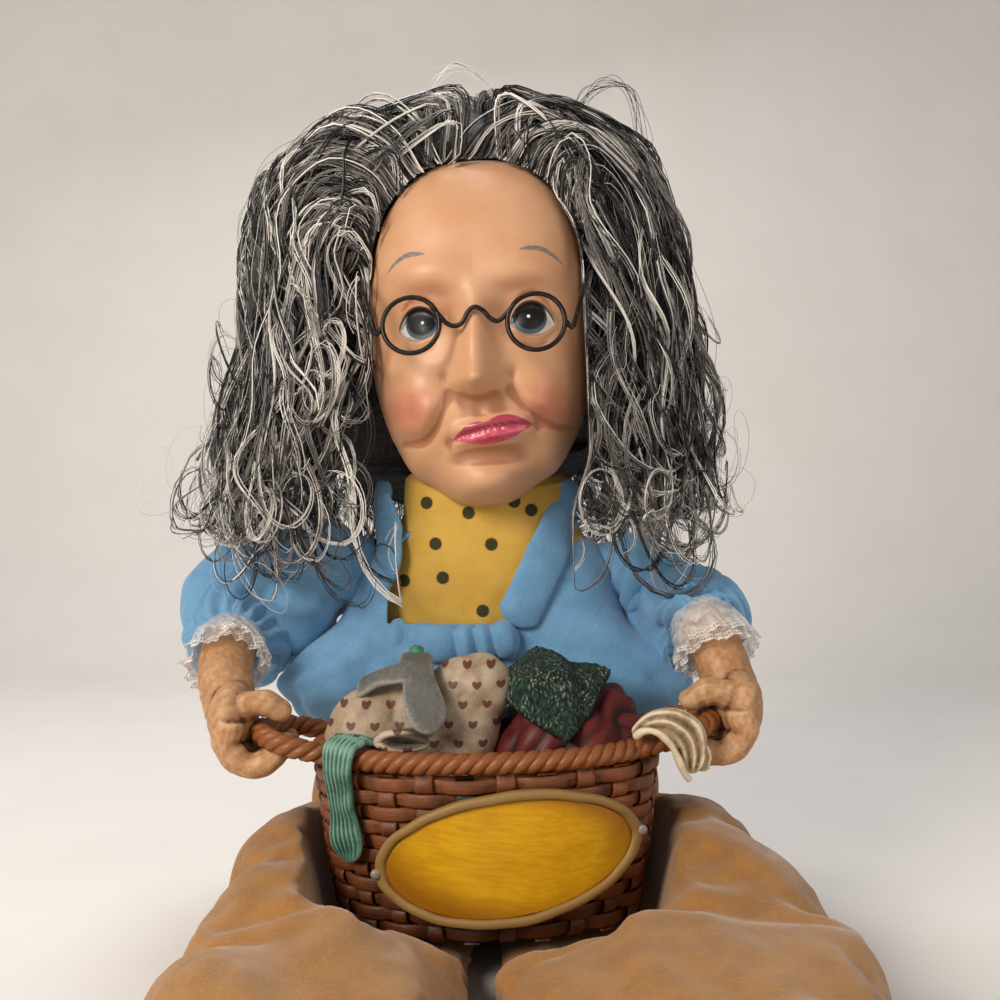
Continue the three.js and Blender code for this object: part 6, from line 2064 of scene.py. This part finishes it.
# %% Trousers: stuffing
CLOTH_VOXEL = 3.6
STUFFING_FRAMES = 20
STUFFING_PRESSURE = 4.0
SEAT_SWELL, LEG_SWELL = 5.0, 3.5


def stuffed(bm, limit, held):
    """The cloth swelled by a simulation with air pressure, each point moved no more than a limit."""
    bmesh.ops.holes_fill(bm, edges=bm.edges[:])
    skin = fuse(bm, CLOTH_VOXEL, smoothing=1)
    bmesh.ops.scale(skin, vec=(MM, MM, MM), verts=skin.verts)
    mesh = bpy.data.meshes.new("stuffing")
    skin.to_mesh(mesh)
    bag = put_in_scene("stuffing", mesh)
    still = np.array([vert.co for vert in skin.verts])
    pins = bag.vertex_groups.new(name="held")
    pins.add([int(k) for k in np.flatnonzero(held(still / MM))], 1.0, "REPLACE")
    cloth = bag.modifiers.new("stuffing", "CLOTH")
    cloth.settings.quality = 5
    cloth.settings.mass = 0.15
    cloth.settings.bending_stiffness = 0.2
    cloth.settings.shrink_min = -0.05
    cloth.settings.use_pressure = True
    cloth.settings.uniform_pressure_force = STUFFING_PRESSURE
    cloth.settings.vertex_group_mass = "held"
    cloth.settings.effector_weights.gravity = 0.0
    cloth.collision_settings.use_collision = False
    cloth.point_cache.frame_start, cloth.point_cache.frame_end = 1, STUFFING_FRAMES
    for frame_number in range(1, STUFFING_FRAMES + 1):
        bpy.context.scene.frame_set(frame_number)
    swelled = bag.evaluated_get(bpy.context.evaluated_depsgraph_get()).to_mesh()
    points = np.empty(3 * len(swelled.vertices))
    swelled.vertices.foreach_get("co", points)
    way = points.reshape(-1, 3) - still
    far = np.linalg.norm(way, axis=1)
    way *= np.minimum(1, limit * MM / np.maximum(far, 1e-9))[:, None]
    bpy.context.scene.frame_set(1)
    bpy.data.objects.remove(bag)
    for vert, place in zip(skin.verts, still + way):
        vert.co = place / MM
        vert.co.z = max(vert.co.z, 0.2)
    print("stuffing moved the cloth up to", round(float(far.max()) / MM, 1), "mm, kept to", limit)
    bmesh.ops.subdivide_edges(skin, edges=skin.edges[:], cuts=1, use_grid_fill=True, smooth=0.6)
    axes = dict(use_axis_x=True, use_axis_y=True, use_axis_z=True)
    for _ in range(4):
        bmesh.ops.smooth_vert(skin, verts=skin.verts, factor=0.5, **axes)
    return skin


def fine_folds(points, seed):
    """Small creases that the simulation is too coarse for."""
    sharp = 2 * np.abs(ripple(points * [1, 0.7, 1], 21, seed)) - 1
    return (0.3 * sharp + 0.08 * ripple(points, 9, seed + 1)) * ease(points[:, 2], 1, 8)


def seat_held(points):
    return (points[:, 2] < 3) | (points[:, 2] > 52)


def leg_held(points):
    beside = np.abs(points[:, 0] - BASKET_FOOT[0]) < np.interp(-points[:, 1], NEST_Y, NEST_HALF) + 8
    in_nest = beside & (points[:, 1] < -20) & (points[:, 1] > -100)
    return (points[:, 2] < 3) | in_nest | (points[:, 1] < -194)


seat_cloth = stuffed(bent_grid(160, 70, seat_shape, wrap=True), SEAT_SWELL, seat_held)
puffed(seat_cloth, lambda points: fine_folds(points, 97))
seat_piece = make_piece("trouser_seat_cloth", seat_cloth, tan_flannel, "torso", "tan_flannel")
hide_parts("trouser_seat", "pellet_bag")
for name, leg in LEGS.items():
    leg_cloth = stuffed(bent_grid(110, 190, leg_shape(leg), wrap=True), LEG_SWELL, leg_held)
    puffed(leg_cloth, lambda points: fine_folds(points, leg["seed"] + 3))
    piece = make_piece("trouser_cloth_" + name, leg_cloth, tan_flannel, slot="tan_flannel")
    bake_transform(piece)
    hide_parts("trouser_thigh_" + name, "trouser_leg_" + name)

# %% [markdown]
# The shoes are plain round castings under the hems: an upper, a sole and an ankle, fused into one skin.

# %% Shoes
UPPER_PLACE, UPPER_SIZE = (0, -222, 24), (15, 15.6, 22)
SOLE_PLACE, SOLE_SIZE = (0, -234, 22), (13, 4.5, 22)
ANKLE_PLACES, ANKLE_RADIUS = [(0, -196, 14), (0, -208, 14), (0, -220, 18)], 11.0


def shoe_mesh(x):
    middle = np.array([x, 0.0, 0.0])
    ankle = tube(path_through(middle + ANKLE_PLACES, 12), ANKLE_RADIUS, around=24)
    parts = [lump(middle + UPPER_PLACE, UPPER_SIZE), lump(middle + SOLE_PLACE, SOLE_SIZE), ankle]
    shoe = fuse(joined(*parts), voxel=0.7, smoothing=3)
    return puffed(shoe, lambda points: 0.15 * ripple(points, 7, 99))


shoe_paint = resin_material("shoe_paint", "4b2e1c", "1d0f08", "80583a", 0.8, 0.5, 2.0, 0.4)
for name, leg in LEGS.items():
    shoe = shoe_mesh(leg["side"] * leg["hem"][0])
    cast_piece("cast_shoe_" + name, shoe, shoe_paint, "lower_leg_" + name, "shoe_resin", "shoe_" + name,
               steps=8, depth=0.5)
